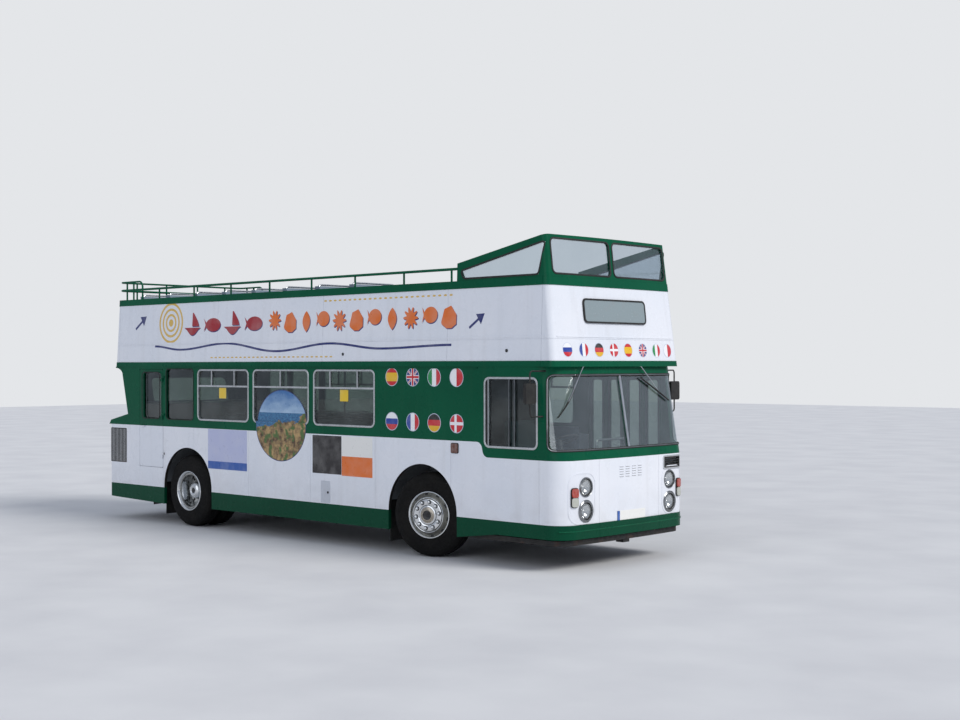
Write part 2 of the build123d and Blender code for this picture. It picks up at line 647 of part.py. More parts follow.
def track_rod():
    """The rod between the two steering arms, under the arms, with its upright ball pins."""
    x, y0 = arm_eye(-1)
    y1 = arm_eye(1)[1]
    z = ARM_Z - 36
    bar = Pos(x, (y0 + y1) / 2, z) * Rot(90, 0, 0) * Cylinder(17, y1 - y0)
    bar += Pos(x, y0, z) * Cylinder(26, 40)
    bar += Pos(x, y1, z) * Cylinder(26, 40)
    bar += Pos(x, y0, z + 30) * Cylinder(EYE_RADIUS, 48)
    bar += Pos(x, y1, z + 30) * Cylinder(EYE_RADIUS - 1.0, 48)
    return bar


def wheel_box(x0, x1, inner_y, z0):
    """Open box over a wheel with its top corners cut off, for the left side."""
    rise, run = 295, 260
    shoulder = BOX_TOP - rise
    outer = polygon(
        (x0, z0), (x1, z0), (x1, shoulder), (x1 - run, BOX_TOP), (x0 + run, BOX_TOP), (x0, shoulder)
    )
    p = PLATE
    slope = p * (math.hypot(rise, run) - rise) / run
    top = slope * run / rise
    inner = polygon(
        (x0 + p, z0 - 10), (x1 - p, z0 - 10), (x1 - p, shoulder - top), (x1 - run - slope, BOX_TOP - p),
        (x0 + run + slope, BOX_TOP - p), (x0 + p, shoulder - top),
    )
    return across(outer, inner_y, INNER - FIT) - across(inner, inner_y + p, INNER + 10)


def floors():
    """Lower saloon floors, the steps between them, and the boxes over the wheels."""
    edge = INNER - FIT
    x0, x1, y = FRONT_BOX
    main = block(REAR_BOX[1], FLOOR_FRONT_X, -edge, edge, FLOOR_Z - FLOOR_THICK, FLOOR_Z)
    rear = block(BENCH_FRONT_X, REAR_STEP_X, -edge, edge, REAR_FLOOR_Z - REAR_FLOOR_THICK, REAR_FLOOR_Z)
    for side in (-1, 1):
        main -= block(x0 - FIT, x1 + 10, side * (y - FIT), side * HALF_WIDTH, FLOOR_Z - 120, FLOOR_Z + 80)
        rx0, rx1, ry = REAR_BOX
        rear -= block(rx0 - FIT, rx1 + FIT, side * (ry - FIT), side * HALF_WIDTH, REAR_FLOOR_Z - 130, REAR_FLOOR_Z + 70)
    platform = lower_solid(PLATFORM_Z - PLATFORM_THICK, PLATFORM_Z, WALL + FIT)
    platform &= block(PLATFORM_REAR_X, LENGTH, -WIDTH, WIDTH, 0, FLOOR_Z)
    for side in (-1, 1):
        platform -= block(PLATFORM_REAR_X - 50, FRONT_BOX[1] - PLATE, side * (y - 30), side * WIDTH, 0, FLOOR_Z)
    add("lower_floor", main, rear, platform)

    boxes = []
    front = wheel_box(*FRONT_BOX, FLOOR_Z - FLOOR_THICK)
    low = FLOOR_Z - FLOOR_THICK
    front += block(x1 - PLATE, x1, y, edge, PLATFORM_Z, low)
    boxes += both_sides(front)
    boxes += both_sides(wheel_box(*REAR_BOX, FLOOR_Z))
    add("wheel_boxes", *boxes)

    step = block(FLOOR_FRONT_X - PLATE, FLOOR_FRONT_X, -y, y, PLATFORM_Z, low)
    rear_step = block(REAR_STEP_X - PLATE, REAR_STEP_X, -REAR_BOX[2], REAR_BOX[2], FLOOR_Z,
                      REAR_FLOOR_Z - REAR_FLOOR_THICK)
    bench = across(
        polygon(
            (BENCH_FRONT_X, REAR_FLOOR_Z - REAR_FLOOR_THICK), (BENCH_FRONT_X, BENCH_Z),
            (BENCH_REAR_X, BENCH_Z), (BENCH_REAR_X, BENCH_Z - PLATE), (BENCH_FRONT_X - PLATE, BENCH_Z - PLATE),
            (BENCH_FRONT_X - PLATE, REAR_FLOOR_Z - REAR_FLOOR_THICK),
        ),
        -edge, edge,
    )
    back = block(BENCH_REAR_X - PLATE, BENCH_REAR_X, -edge, edge, BENCH_Z - PLATE, WAIST + 127)
    add("floor_risers", step, rear_step, bench + back)


def power():
    """The power unit, fuel tank and exhaust."""
    unit = block(ENGINE_REAR_X, ENGINE_FRONT_X, -900, 600, ENGINE_BOTTOM, ENGINE_TOP)
    add("power_unit", chamfer(unit.edges(), 40))
    hung = RAIL_LOW + RAIL_DEPTH - OUTRIGGER
    tank = block(-850, 350, -1130, -560, hung - 215, hung)
    tank = fillet(tank.edges().filter_by(Axis.X), 60)
    air = []
    for y in (620, 860):
        air.append(Pos(-250, y, hung - 95) * Rot(0, 90, 0) * Cylinder(95, 1150))
    add("tanks", tank, *air)
    bend_x = ENGINE_FRONT_X + 350
    route = [
        (ENGINE_FRONT_X, -640, 540), (bend_x, -640, 540), (bend_x, -640, 320), (bend_x, -900, 320),
        (bend_x - 160, -1140, 290),
    ]
    pipe = tube(route, 60, 38)
    add("exhaust", pipe)


def lower_shell():
    """The green skirt and the white lower panels, split at their seams."""
    skirt = extrude(
        Pos(0, 0, SKIRT_BOTTOM) * plan(HALF_LENGTH, TAIL_X, HALF_WIDTH, NOSE_RADIUS + 5, TAIL_RADIUS, NOSE_CROWN),
        SKIRT_TOP - SKIRT_BOTTOM,
    )
    skirt -= lower_solid(SKIRT_BOTTOM - 10, SKIRT_TOP + 10, WALL)
    start, end = FRONT_ARCH_X + FRONT_ARCH_R, NOSE_X - 1040
    low = SKIRT_BOTTOM - 95
    front_rise = polygon((start, low), (start, SKIRT_BOTTOM), (end, SKIRT_BOTTOM_FRONT),
                         (LENGTH, SKIRT_BOTTOM_FRONT), (LENGTH, low))
    start, end = REAR_ARCH_X - REAR_ARCH_R, TAIL_X - 350
    rear_rise = polygon((start, low), (start, SKIRT_BOTTOM), (end, SKIRT_BOTTOM_REAR + 10), (end, low))
    skirt -= across(front_rise, -WIDTH, WIDTH)
    skirt -= across(rear_rise, -WIDTH, WIDTH)
    skirt -= arches()
    skirt -= entrance_cut()
    skirt -= corner_seams(-1) + corner_seams(1)
    skirt -= pivot_pins(PIVOT_RADIUS + RUNNING)
    add("skirt_panels", skirt)

    shell = lower_solid(SKIRT_TOP, WAIST) - lower_solid(SKIRT_TOP - 10, WAIST + 10, WALL)
    shell -= above_belt()
    shell -= arches()
    shell -= entrance_cut()
    shell -= emergency_cut()
    g = DOOR_GAP
    y, z0, z1 = COVER
    shell -= block(TAIL_X - 10, TAIL_X + 60, -y - g, y + g, z0 - g, z1 + 2 * g)
    for side in (-1, 1):
        y0, y1 = sorted((side * (INNER - 10), side * (HALF_WIDTH + 10)))
        shell -= across(rounded(*SIDE_GRILLE, 20), y0, y1)
        for x in PANEL_SEAMS:
            shell -= block(x - SEAM / 2, x + SEAM / 2, y0, y1, 0, BAND_TOP)
        shell -= corner_seams(side)
        for z in REAR_LAMPS:
            hole = Rot(0, 90, 0) * Cylinder(REAR_LAMP_R + FIT, 200)
            shell -= Pos(TAIL_X, side * REAR_LAMP_Y, z) * hole
        for z, r in HEADLAMPS:
            shell -= Pos(NOSE_X - 40, side * HEADLAMP_Y, z) * Rot(0, 90, 0) * Cylinder(r + FIT, 200)
    shell -= block(NOSE_X - 140, LENGTH, *FRONT_GRILLE_Y, *FRONT_GRILLE_Z)
    shell -= cover_pins(COVER_PIN + RUNNING)
    shell += emergency_hinges(EMERGENCY_HINGES[:1])
    add("lower_panels", shell)


def corner_seams(side):
    """Upright seams in the front and rear faces, inboard of one side's corner panels."""
    half = SEAM / 2
    front = side * FRONT_SEAM_Y
    rear = side * REAR_SEAM_Y
    cut = block(NOSE_X - 240, LENGTH, front - half, front + half, 0, BAND_TOP)
    return cut + block(-LENGTH, TAIL_X + 250, rear - half, rear + half, 0, BAND_TOP)


def cover_pins(radius):
    """The engine cover's two pivot pins, at its top corners."""
    y, z0, z1 = COVER
    pins = []
    for side in (-1, 1):
        middle = side * (y + (COVER_PIN_REACH - COVER_PIN_ROOT) / 2)
        turned = Rot(90, 0, 0) * Cylinder(radius, COVER_PIN_REACH + COVER_PIN_ROOT)
        pins.append(Pos(TAIL_X + COVER_PIN_IN, middle, z1 - DOOR_GAP) * turned)
    return pins





def bands():
    """The green window bands at the sides, the leaning rear wall and the cab's surround."""
    low = REAR_WALL_INNER[2]
    high = REAR_WALL_INNER[3]
    band = across(
        polygon((STEP_REAR_X, WAIST), (STEP_REAR_X, BAND_TOP), high, low, (low[0], WAIST)),
        INNER, HALF_WIDTH,
    )
    right = mirror(band, about=Plane.XZ)
    left = band
    for x0, x1, sides, framed in SIDE_WINDOWS:
        hole = rounded(x0, x1, WINDOW_SILL, WINDOW_HEAD, WINDOW_CORNER)
        if 1 in sides:
            left -= across(hole, INNER - 10, HALF_WIDTH + 10)
        if -1 in sides:
            right -= across(hole, -HALF_WIDTH - 10, -INNER + 10)
    right -= emergency_cut()
    left -= entrance_cut()
    left -= pivot_pins(PIVOT_RADIUS + RUNNING)
    right += emergency_hinges((EMERGENCY_HINGES[1], EMERGENCY_HINGES[2]))
    add("window_bands", right, left)

    wall = across(polygon(*REAR_WALL, *REAR_WALL_INNER), -HALF_WIDTH, HALF_WIDTH)
    cheek = polygon(REAR_WALL[1], REAR_WALL[2], REAR_WALL[3], (BENCH_REAR_X, WAIST), REAR_WALL_INNER[2])
    wall += both_sides(across(cheek, INNER, HALF_WIDTH))
    y, z0, z1 = REAR_WINDOW
    wall -= along(rounded(-y, y, z0, z1, REAR_WINDOW_CORNER), TAIL_X + 150, TAIL_X + 650)
    add("rear_wall", wall)

    low = BELT_FRONT - 40
    surround = cab_solid(low, BAND_TOP) - cab_solid(low, BAND_TOP, WALL)
    surround &= block(STEP_REAR_X, LENGTH, -WIDTH, WIDTH, BELT_FRONT - 100, BAND_TOP + 100)
    surround &= above_belt()
    surround -= screen_opening(0)
    x0, x1, z0, z1 = CAB_WINDOW
    surround -= across(rounded(x0, x1, z0, z1, 70), -HALF_WIDTH - 10, -INNER + 10)
    surround -= entrance_cut()
    surround -= pivot_pins(PIVOT_RADIUS + RUNNING)
    add("windscreen_surround", surround)


def screen_opening(shrink):
    """The wrap-round windscreen opening, cut across the cab, less its centre post."""
    s = shrink
    corner = 90.0
    low, high = SCREEN_EDGE_LOW_X + s, SCREEN_EDGE_HIGH_X + s
    z0, z1 = SCREEN_Z0 + s, SCREEN_Z1 - s
    edge = FilletPolyline((LENGTH, z0), (low, z0), (high, z1), (LENGTH, z1), radius=corner)
    outline = make_face(edge.edges() + [Line((LENGTH, z1), (LENGTH, z0))])
    opening = across(outline, -WIDTH, WIDTH)
    post = SCREEN_POST + s
    return opening - block(NOSE_X - 640, LENGTH, -post, post, BELT_FRONT, BAND_TOP)


def glass():
    """The windscreen, the side, rear and upper deck panes and the bright frames."""
    pane = cab_solid(BELT_FRONT, BAND_TOP, 10) - cab_solid(BELT_FRONT, BAND_TOP, 10 + GLASS)
    pane &= screen_opening(FIT)
    add("windscreen", pane)

    panes = []
    frames = []
    z0, z1 = WINDOW_SILL, WINDOW_HEAD
    for x0, x1, sides, framed in SIDE_WINDOWS:
        f = FIT
        sheet = rounded(x0 + f, x1 - f, z0 + f, z1 - f, WINDOW_CORNER - f)
        piece = across(sheet, HALF_WIDTH - 32, HALF_WIDTH - 32 + GLASS)
        for side in sides:
            panes.append(piece if side > 0 else mirror(piece, about=Plane.XZ))
        if framed:
            frame = window_frame(x0 + f, x1 - f, z0 + f, z1 - f, WINDOW_CORNER - f, TRANSOM_Z)
            for side in sides:
                frames.append(frame if side > 0 else mirror(frame, about=Plane.XZ))
    x0, x1, z0, z1 = CAB_WINDOW
    f = FIT
    sheet = rounded(x0 + f, x1 - f, z0 + f, z1 - f, 70 - f)
    panes.append(across(sheet, -HALF_WIDTH + 32 - GLASS, -HALF_WIDTH + 32))
    cab = window_frame(x0 + f, x1 - f, z0 + f, z1 - f, 70 - f, None)
    frames.append(mirror(cab, about=Plane.XZ))
    add("window_frames", *frames)

    y, z0, z1 = REAR_WINDOW
    lean = polygon(
        (REAR_WALL[0][0] + 15, BAND_TOP), (REAR_WALL[1][0] + 15, REAR_WALL[1][1]),
        (REAR_WALL[1][0] + 15 + GLASS, REAR_WALL[1][1]), (REAR_WALL[0][0] + 15 + GLASS, BAND_TOP),
    )
    opening = along(rounded(-y + f, y - f, z0 + f, z1 - f, REAR_WINDOW_CORNER - f), TAIL_X + 150, TAIL_X + 650)
    rear = across(lean, -HALF_WIDTH, HALF_WIDTH) & opening
    panes.append(rear)
    shell = deck_solid(CAPPING_TOP, SCREEN_TOP, 12) - deck_solid(CAPPING_TOP, SCREEN_TOP, 12 + GLASS)
    for cut in screen_panes(FIT):
        panes.append(shell & cut)
    add("glazing", *panes)


def window_frame(x0, x1, z0, z1, corner, transom):
    """A bright frame seated in a window opening, with its transom and one pillar over it."""
    outer = rounded(x0, x1, z0, z1, corner)
    f = FRAME_FACE
    inner = rounded(x0 + f, x1 - f, z0 + f, z1 - f, corner - f / 2)
    y0 = HALF_WIDTH - 32 + GLASS
    y1 = HALF_WIDTH + FRAME_PROUD
    frame = across(outer, y0, y1) - across(inner, y0 - 5, y1 + 5)
    if transom:
        frame += block(x0 + f / 2, x1 - f / 2, y0, y1 - 4, transom - 12, transom + 12)
        middle = (x0 + x1) / 2
        frame += block(middle - 10, middle + 10, y0, y1 - 4, transom, z1 - f / 2)
    else:
        middle = x0 + (x1 - x0) * 0.55
        frame += block(middle - 14, middle + 14, y0, y1 - 4, z0 + f / 2, z1 - f / 2)
    return frame




def screen_panes(shrink):
    """Openings of the upper deck's screen: one in each side and two at the front."""
    side = offset(polygon(*SCREEN_SIDE_PANE), amount=-shrink) if shrink else polygon(*SCREEN_SIDE_PANE)
    s = shrink
    y0, y1, z0, z1 = SCREEN_FRONT_PANE
    inside = INNER - 175
    cuts = [across(side, inside, WIDTH), across(side, -WIDTH, -inside)]
    cuts.append(along(rounded(y0 + s, y1 - s, z0 + s, z1 - s, 60 - s), DECK_NOSE_X - 255, DECK_NOSE_X))
    cuts.append(along(rounded(-y1 + s, -y0 - s, z0 + s, z1 - s, 60 - s), DECK_NOSE_X - 255, DECK_NOSE_X))
    return cuts


def upper_shell():
    """The upper deck: floor, white panels, capping, front screen and guard rails."""
    floor = deck_solid(BAND_TOP, DECK_FLOOR_Z, WALL + FIT)
    floor -= block(STAIR_X0 - 10, STAIRWELL_X1, -INNER + 8, STAIR_INNER_Y, BAND_TOP - 350, DECK_FLOOR_Z + 590)
    add("upper_floor", floor)

    panels = deck_solid(BAND_TOP, PANEL_TOP) - deck_solid(BAND_TOP, PANEL_TOP, WALL)
    moulding = deck_solid(BAND_TOP, EAVE_TOP, -7) - deck_solid(BAND_TOP, EAVE_TOP, 5)
    panels += moulding
    groove = deck_solid(PANEL_SEAM_Z - 2, PANEL_SEAM_Z + 2, -9) - deck_solid(PANEL_SEAM_Z - 2, PANEL_SEAM_Z + 2, 4)
    panels -= groove
    for x in DECK_SEAMS:
        for cut in both_sides(block(x - SEAM / 2, x + SEAM / 2, INNER - 175, WIDTH, BAND_TOP - 350, PANEL_TOP + 210)):
            panels -= cut
    panels -= display_box(-FIT)
    add("upper_deck_panels", panels)

    capping = deck_solid(PANEL_TOP, CAPPING_TOP, -6) - deck_solid(PANEL_TOP, CAPPING_TOP, WALL + 6)
    for x in (DECK_SEAMS[0], DECK_SEAMS[-1]):
        capping -= block(x - SEAM / 2, x + SEAM / 2, -WIDTH, WIDTH, PANEL_TOP - 100, CAPPING_TOP + 100)
    add("deck_capping", capping)

    screen = deck_solid(CAPPING_TOP, SCREEN_TOP) - deck_solid(CAPPING_TOP, SCREEN_TOP, SCREEN_WALL)
    outline = polygon((SCREEN_TAIL_X, CAPPING_TOP), (SCREEN_TAIL_X, SCREEN_TAIL_TOP), (NOSE_X - 305, SCREEN_TOP),
                      (NOSE_X, SCREEN_TOP), (NOSE_X, CAPPING_TOP))
    screen &= across(outline, -WIDTH, WIDTH)
    for cut in screen_panes(0):
        screen -= cut
    add("screen_frame", screen)
    add("destination_box", display_box(0))
    guard_rails()




def display_box(inset):
    """The destination display, standing a little proud of the front panel."""
    y0, y1, z0, z1 = DISPLAY
    box = along(rounded(y0 + inset, y1 - inset, z0 + inset, z1 - inset, 60), DECK_NOSE_X - 325, NOSE_X)
    return box & deck_solid(BAND_TOP, PANEL_TOP, -8)




def guard_rails():
    """The tubular rail along each side and the double rail round the back."""
    tail = DECK_TAIL_X + DECK_TAIL_LEAN * (CAPPING_TOP - BAND_TOP) + 22
    y = deck_side(CAPPING_TOP, 22)
    break_x = GUARD_BREAK_X
    side = rod((SCREEN_TAIL_X - FIT, y, GUARD_Z), (break_x + FIT, y, GUARD_Z), GUARD_RADIUS)
    posts = [GUARD_START_X + share * (GUARD_END_X - GUARD_START_X) for share in GUARD_SHARES]
    for x in posts + list(REAR_POSTS):
        top = REAR_GUARD_Z if x in REAR_POSTS[:2] else GUARD_Z
        side += rod((x, y, CAPPING_TOP), (x, y, top), POST_RADIUS)
    high = [(REAR_POSTS[2], y, GUARD_Z), (REAR_POSTS[2], y, REAR_GUARD_Z), (break_x + FIT, y, REAR_GUARD_Z)]
    side += tube(high, 90, REAR_GUARD_RADIUS)
    rails = both_sides(side)
    rear = None
    for z, r in ((GUARD_Z, GUARD_RADIUS), (REAR_GUARD_Z, REAR_GUARD_RADIUS)):
        hoop = tube([(break_x, -y, z), (tail, -y, z), (tail, y, z), (break_x, y, z)], 90, r)
        rear = hoop if rear is None else rear + hoop
    for post_y in (-850, -300, 300, 850):
        rear += rod((tail, post_y, CAPPING_TOP), (tail, post_y, REAR_GUARD_Z), POST_RADIUS)
    add("guard_rails", *rails, rear)


def stairs():
    """Two steps and a landing off the platform, then five treads rearwards to the upper deck."""
    tread = (STAIR_X1 - STAIR_X0) / 5
    landing_z = PLATFORM_Z + 3 * STEP_RISE
    points = [(STAIRWELL_X1 - FIT, landing_z), (STAIR_X1, landing_z)]
    x, z = STAIR_X1, landing_z
    for i in range(5):
        z += STEP_RISE
        points.append((x, z))
        x -= tread
        points.append((x, z))
    points += [(x, BAND_TOP), (x - 30, BAND_TOP), (x - 30, z - 40), (STAIR_X1 + 10, landing_z - 34),
               (STAIRWELL_X1 - FIT, landing_z - 34)]
    flight = across(polygon(*points), -INNER + FIT, STAIR_INNER_Y)
    base = FRONT_BOX[1] + FIT
    step_front = STAIRWELL_X1 - FIT
    for i, (y0, y1) in enumerate(((-250, 0), (-500, -250), (-INNER + FIT, -500))):
        flight += block(base, step_front, y0, y1, PLATFORM_Z, PLATFORM_Z + (i + 1) * STEP_RISE)
    add("staircase", flight)


def seat(x, z, y0, y1):
    """One seat: its cushion on a plinth, and its back. x is the foot of the back."""
    cushion = across(
        polygon((x, z), (x, z + SEAT_HEIGHT - 20), (x + SEAT_DEPTH, z + SEAT_HEIGHT),
                (x + SEAT_DEPTH, z + SEAT_HEIGHT - CUSHION_THICK), (x + 250, z + SEAT_HEIGHT - CUSHION_THICK - 40),
                (x + 220, z)),
        y0, y1,
    )
    back = across(
        polygon((x - FIT, z + 280), (x - BACK_THICK, z + 280), (x - BACK_THICK - 90, z + BACK_TOP - 20),
                (x - 70, z + BACK_TOP - 20), (x - 45, z + BACK_TOP - 60), (x - FIT, z + SEAT_HEIGHT + 60)),
        y0, y1,
    )
    return cushion, back


def seats():
    """Rows of double seats on both decks, inward benches on the wheel boxes, and the driver's seat."""
    cushions, backs = [], []
    rows = []
    x = TAIL_X + 870
    while x + SEAT_DEPTH < STAIRWELL_X1 - 400:
        rows.append((x, DECK_FLOOR_Z, 1))
        if x + SEAT_DEPTH < STAIR_X0 - 90:
            rows.append((x, DECK_FLOOR_Z, -1))
        x += SEAT_PITCH
    x = REAR_STEP_X + 200
    while x + SEAT_DEPTH < FRONT_BOX[0]:
        rows.append((x, FLOOR_Z, 1))
        rows.append((x, FLOOR_Z, -1))
        x += LOWER_SEAT_PITCH
    for x, z, side in rows:
        y0, y1 = sorted((side * SEAT_INNER_Y, side * SEAT_OUTER_Y))
        cushion, back = seat(x, z, y0, y1)
        cushions.append(cushion)
        backs.append(back)
    for x0, x1, sides in ((REAR_BOX[0] + 40, REAR_BOX[1] - 40, (-1, 1)), (FRONT_BOX[0] + 60, FRONT_BOX[1] - 135, (1,))):
        for side in sides:
            y0, y1 = sorted((side * 640, side * (INNER - 85)))
            cushions.append(block(x0, x1, y0, y1, BOX_TOP, BOX_TOP + 90))
            y0, y1 = sorted((side * (INNER - 85 + FIT), side * (INNER - FIT)))
            backs.append(block(x0, x1, y0, y1, BOX_TOP, BOX_TOP + 350))
    half, x, top = INNER - 75, BENCH_REAR_X + 85, BENCH_Z + 600
    cushions.append(block(x, BENCH_FRONT_X + 30, -half, half, BENCH_Z, BENCH_Z + 90))
    foot = BENCH_REAR_X + FIT
    backs.append(across(polygon((foot, BENCH_Z), (x - FIT, BENCH_Z), (x - 30, top), (foot, top)), -half, half))
    cushion, back = seat(WHEEL_CENTRE[0] - 505, CAB_FLOOR_Z, WHEEL_CENTRE[1] - 230, WHEEL_CENTRE[1] + 230)
    cushions.append(cushion)
    backs.append(back)
    add("seat_cushions", *cushions)
    add("seat_backs", *backs)




def cab():
    """The driver's floor, the partition behind, the low door beside, and the desk in front."""
    rear = STAIRWELL_X1 + 10
    side, inner = -INNER + FIT, CAB_INNER_Y
    front, low = NOSE_X - 340, BELT_FRONT
    floor = block(rear, front + 100, side, inner, CAB_FLOOR_Z - 40, CAB_FLOOR_Z)
    floor += block(rear, rear + 30, side, inner, PLATFORM_Z, BAND_TOP - 100)
    floor += block(rear, front, inner - 30, inner, PLATFORM_Z, low - 25)
    desk = across(
        polygon((front, PLATFORM_Z), (front, low - 95), (front - 120, low + 15), (front + 100, low + 110),
                (front + 240, low + 55), (front + 240, PLATFORM_Z)),
        -HALF_WIDTH + 170, inner,
    )
    floor += desk
    column = Plane(origin=WHEEL_CENTRE, z_dir=COLUMN_DIR)
    floor += column * Pos(0, 0, HUB_BOTTOM - FIT - 100) * Cylinder(30, 200)
    add("cab_fittings", floor & lower_solid(0, BAND_TOP + 650, WALL + FIT))

    hub = Plane(origin=WHEEL_CENTRE, z_dir=COLUMN_DIR)
    wheel = hub * Torus(235, 15)
    wheel += hub * Pos(0, 0, HUB_BOTTOM + 30) * Cylinder(48, 60)
    for i in range(3):
        wheel += hub * Rot(0, 0, 120 * i + 30) * Pos(135, 0, -8) * Box(210, 26, 12)
    add("steering_wheel", wheel)




def hinged(panel, axis_x, outer):
    """A leaf with its half of the butt hinges on the fold's axis, and room for the other half."""
    own, other = (0, HINGE_HALF + FIT) if outer else (HINGE_HALF + FIT, 0)
    for z in FOLD_HINGES:
        panel -= Pos(axis_x, 0, z + other + HINGE_HALF / 2) * Cylinder(BARREL + 1, HINGE_HALF + 2 * FIT)
    for z in FOLD_HINGES:
        panel += Pos(axis_x, 0, z + own + HINGE_HALF / 2) * Cylinder(BARREL, HINGE_HALF)
    return panel


def pivot_pins(radius):
    """The four pivot pins at the entrance's jambs, at the head and foot of the outer leaves."""
    pins = []
    for x in (ENTRANCE_X0 + JAMB_GAP + PIVOT_IN, ENTRANCE_X1 - JAMB_GAP - PIVOT_IN):
        y = HALF_WIDTH - LEAF_SET_BACK - PIVOT_DEPTH
        foot = PLATFORM_Z - PIVOT_REACH
        pins.append(Pos(x, y, (foot + LEAF_BOTTOM) / 2) * Cylinder(radius, LEAF_BOTTOM - foot))
        head = ENTRANCE_TOP + PIVOT_REACH
        leaf_top = ENTRANCE_TOP - DOOR_GAP
        pins.append(Pos(x, y, (leaf_top + head) / 2) * Cylinder(radius, head - leaf_top))
    return pins


def leaf(width, height):
    """A door leaf from its hinge edge at the origin along +X, its outer face on y = 0, with its pane."""
    panel = across(rounded(0, width, 0, height, 4), -LEAF_THICK, 0)
    sheet = rounded(48, width - 48, 330, height - 60, 40)
    panel -= across(sheet, -LEAF_THICK - 10, 10)
    f = FIT
    glazed = rounded(48 + f, width - 48 - f, 330 + f, height - 60 - f, 40 - f)
    pane = across(glazed, -LEAF_THICK / 2 - 3, -LEAF_THICK / 2 + 3)
    return panel, pane


def doors():
    """The folding entrance doors, the emergency door and the engine cover."""
    middle = (ENTRANCE_X0 + ENTRANCE_X1) / 2
    half = middle - ENTRANCE_X0
    width = (half - MEET_GAP / 2 - JAMB_GAP - DOOR_GAP) / 2
    height = ENTRANCE_TOP - DOOR_GAP - LEAF_BOTTOM
    panel, pane = leaf(width, height)
    y = HALF_WIDTH - LEAF_SET_BACK
    g = DOOR_GAP
    pins = pivot_pins(PIVOT_RADIUS)
    # Start x of each leaf, whether its fold is at its front edge, and its own pivot pins
    leaves = (
        (ENTRANCE_X0 + JAMB_GAP, True, pins[:2]),
        (ENTRANCE_X0 + JAMB_GAP + width + g, False, ()),
        (ENTRANCE_X1 - JAMB_GAP - g - 2 * width, True, ()),
        (ENTRANCE_X1 - JAMB_GAP - width, False, pins[2:]),
    )
    for i, (x, fold_ahead, own_pins) in enumerate(leaves):
        axis_x = width + g / 2 if fold_ahead else -g / 2
        shape = Pos(x, y, LEAF_BOTTOM) * hinged(panel, axis_x, bool(own_pins))
        for pin in own_pins:
            shape += pin
        add("door_leaf_%d" % (i + 1), shape)
        add("door_glass_%d" % (i + 1), Pos(x, y, LEAF_BOTTOM) * pane)

    x0, x1, z0, z1 = EMERGENCY_X0, EMERGENCY_X1, EMERGENCY_Z0, EMERGENCY_Z1
    door = across(rounded(x0, x1, z0, z1, 30), -HALF_WIDTH, -INNER)
    sill, head, corner = WINDOW_SILL + 5, z1 - 43, 60
    door -= across(rounded(x0 + 99, x1 - 45, sill, head, corner), -HALF_WIDTH - 10, -INNER + 10)
    for z in EMERGENCY_HINGES:
        y = -HALF_WIDTH - HINGE_PROUD
        door += block(x1 - 70, x1 - 12, y, -HALF_WIDTH, z - 18, z + 18)
        door += Pos(x1 + DOOR_GAP, y, z) * Cylinder(9, 60)
        door += block(x1 - 20, x1 + DOOR_GAP, y - 4, y + 4, z - 18, z + 18)
    handle_z = WAIST - 15
    door += block(x0 + 60, x0 + 150, -HALF_WIDTH - 24, -HALF_WIDTH - 10, handle_z, handle_z + 22)
    door += block(x0 + 95, x0 + 115, -HALF_WIDTH - 12, -HALF_WIDTH, handle_z, handle_z + 22)
    add("emergency_door", door)
    f = FIT
    sheet = rounded(x0 + 99 + f, x1 - 45 - f, sill + f, head - f, corner - f)
    add("emergency_glass", across(sheet, -HALF_WIDTH + 32 - GLASS, -HALF_WIDTH + 32))

    y, z0, z1 = COVER
    cover = along(rounded(-y, y, z0, z1, 40), TAIL_X, TAIL_X + 30)
    half = y - 330
    for i in range(9):
        z = z0 + 135 + i * 42
        cover -= along(rounded(-half, half, z, z + 22, 8), TAIL_X - 5, TAIL_X + 40)
    cover += both_sides(block(TAIL_X + 30, TAIL_X + 46, y - 60, y - 30, z0 + 40, z1 - 40))
    add("engine_cover", cover + cover_pins(COVER_PIN))


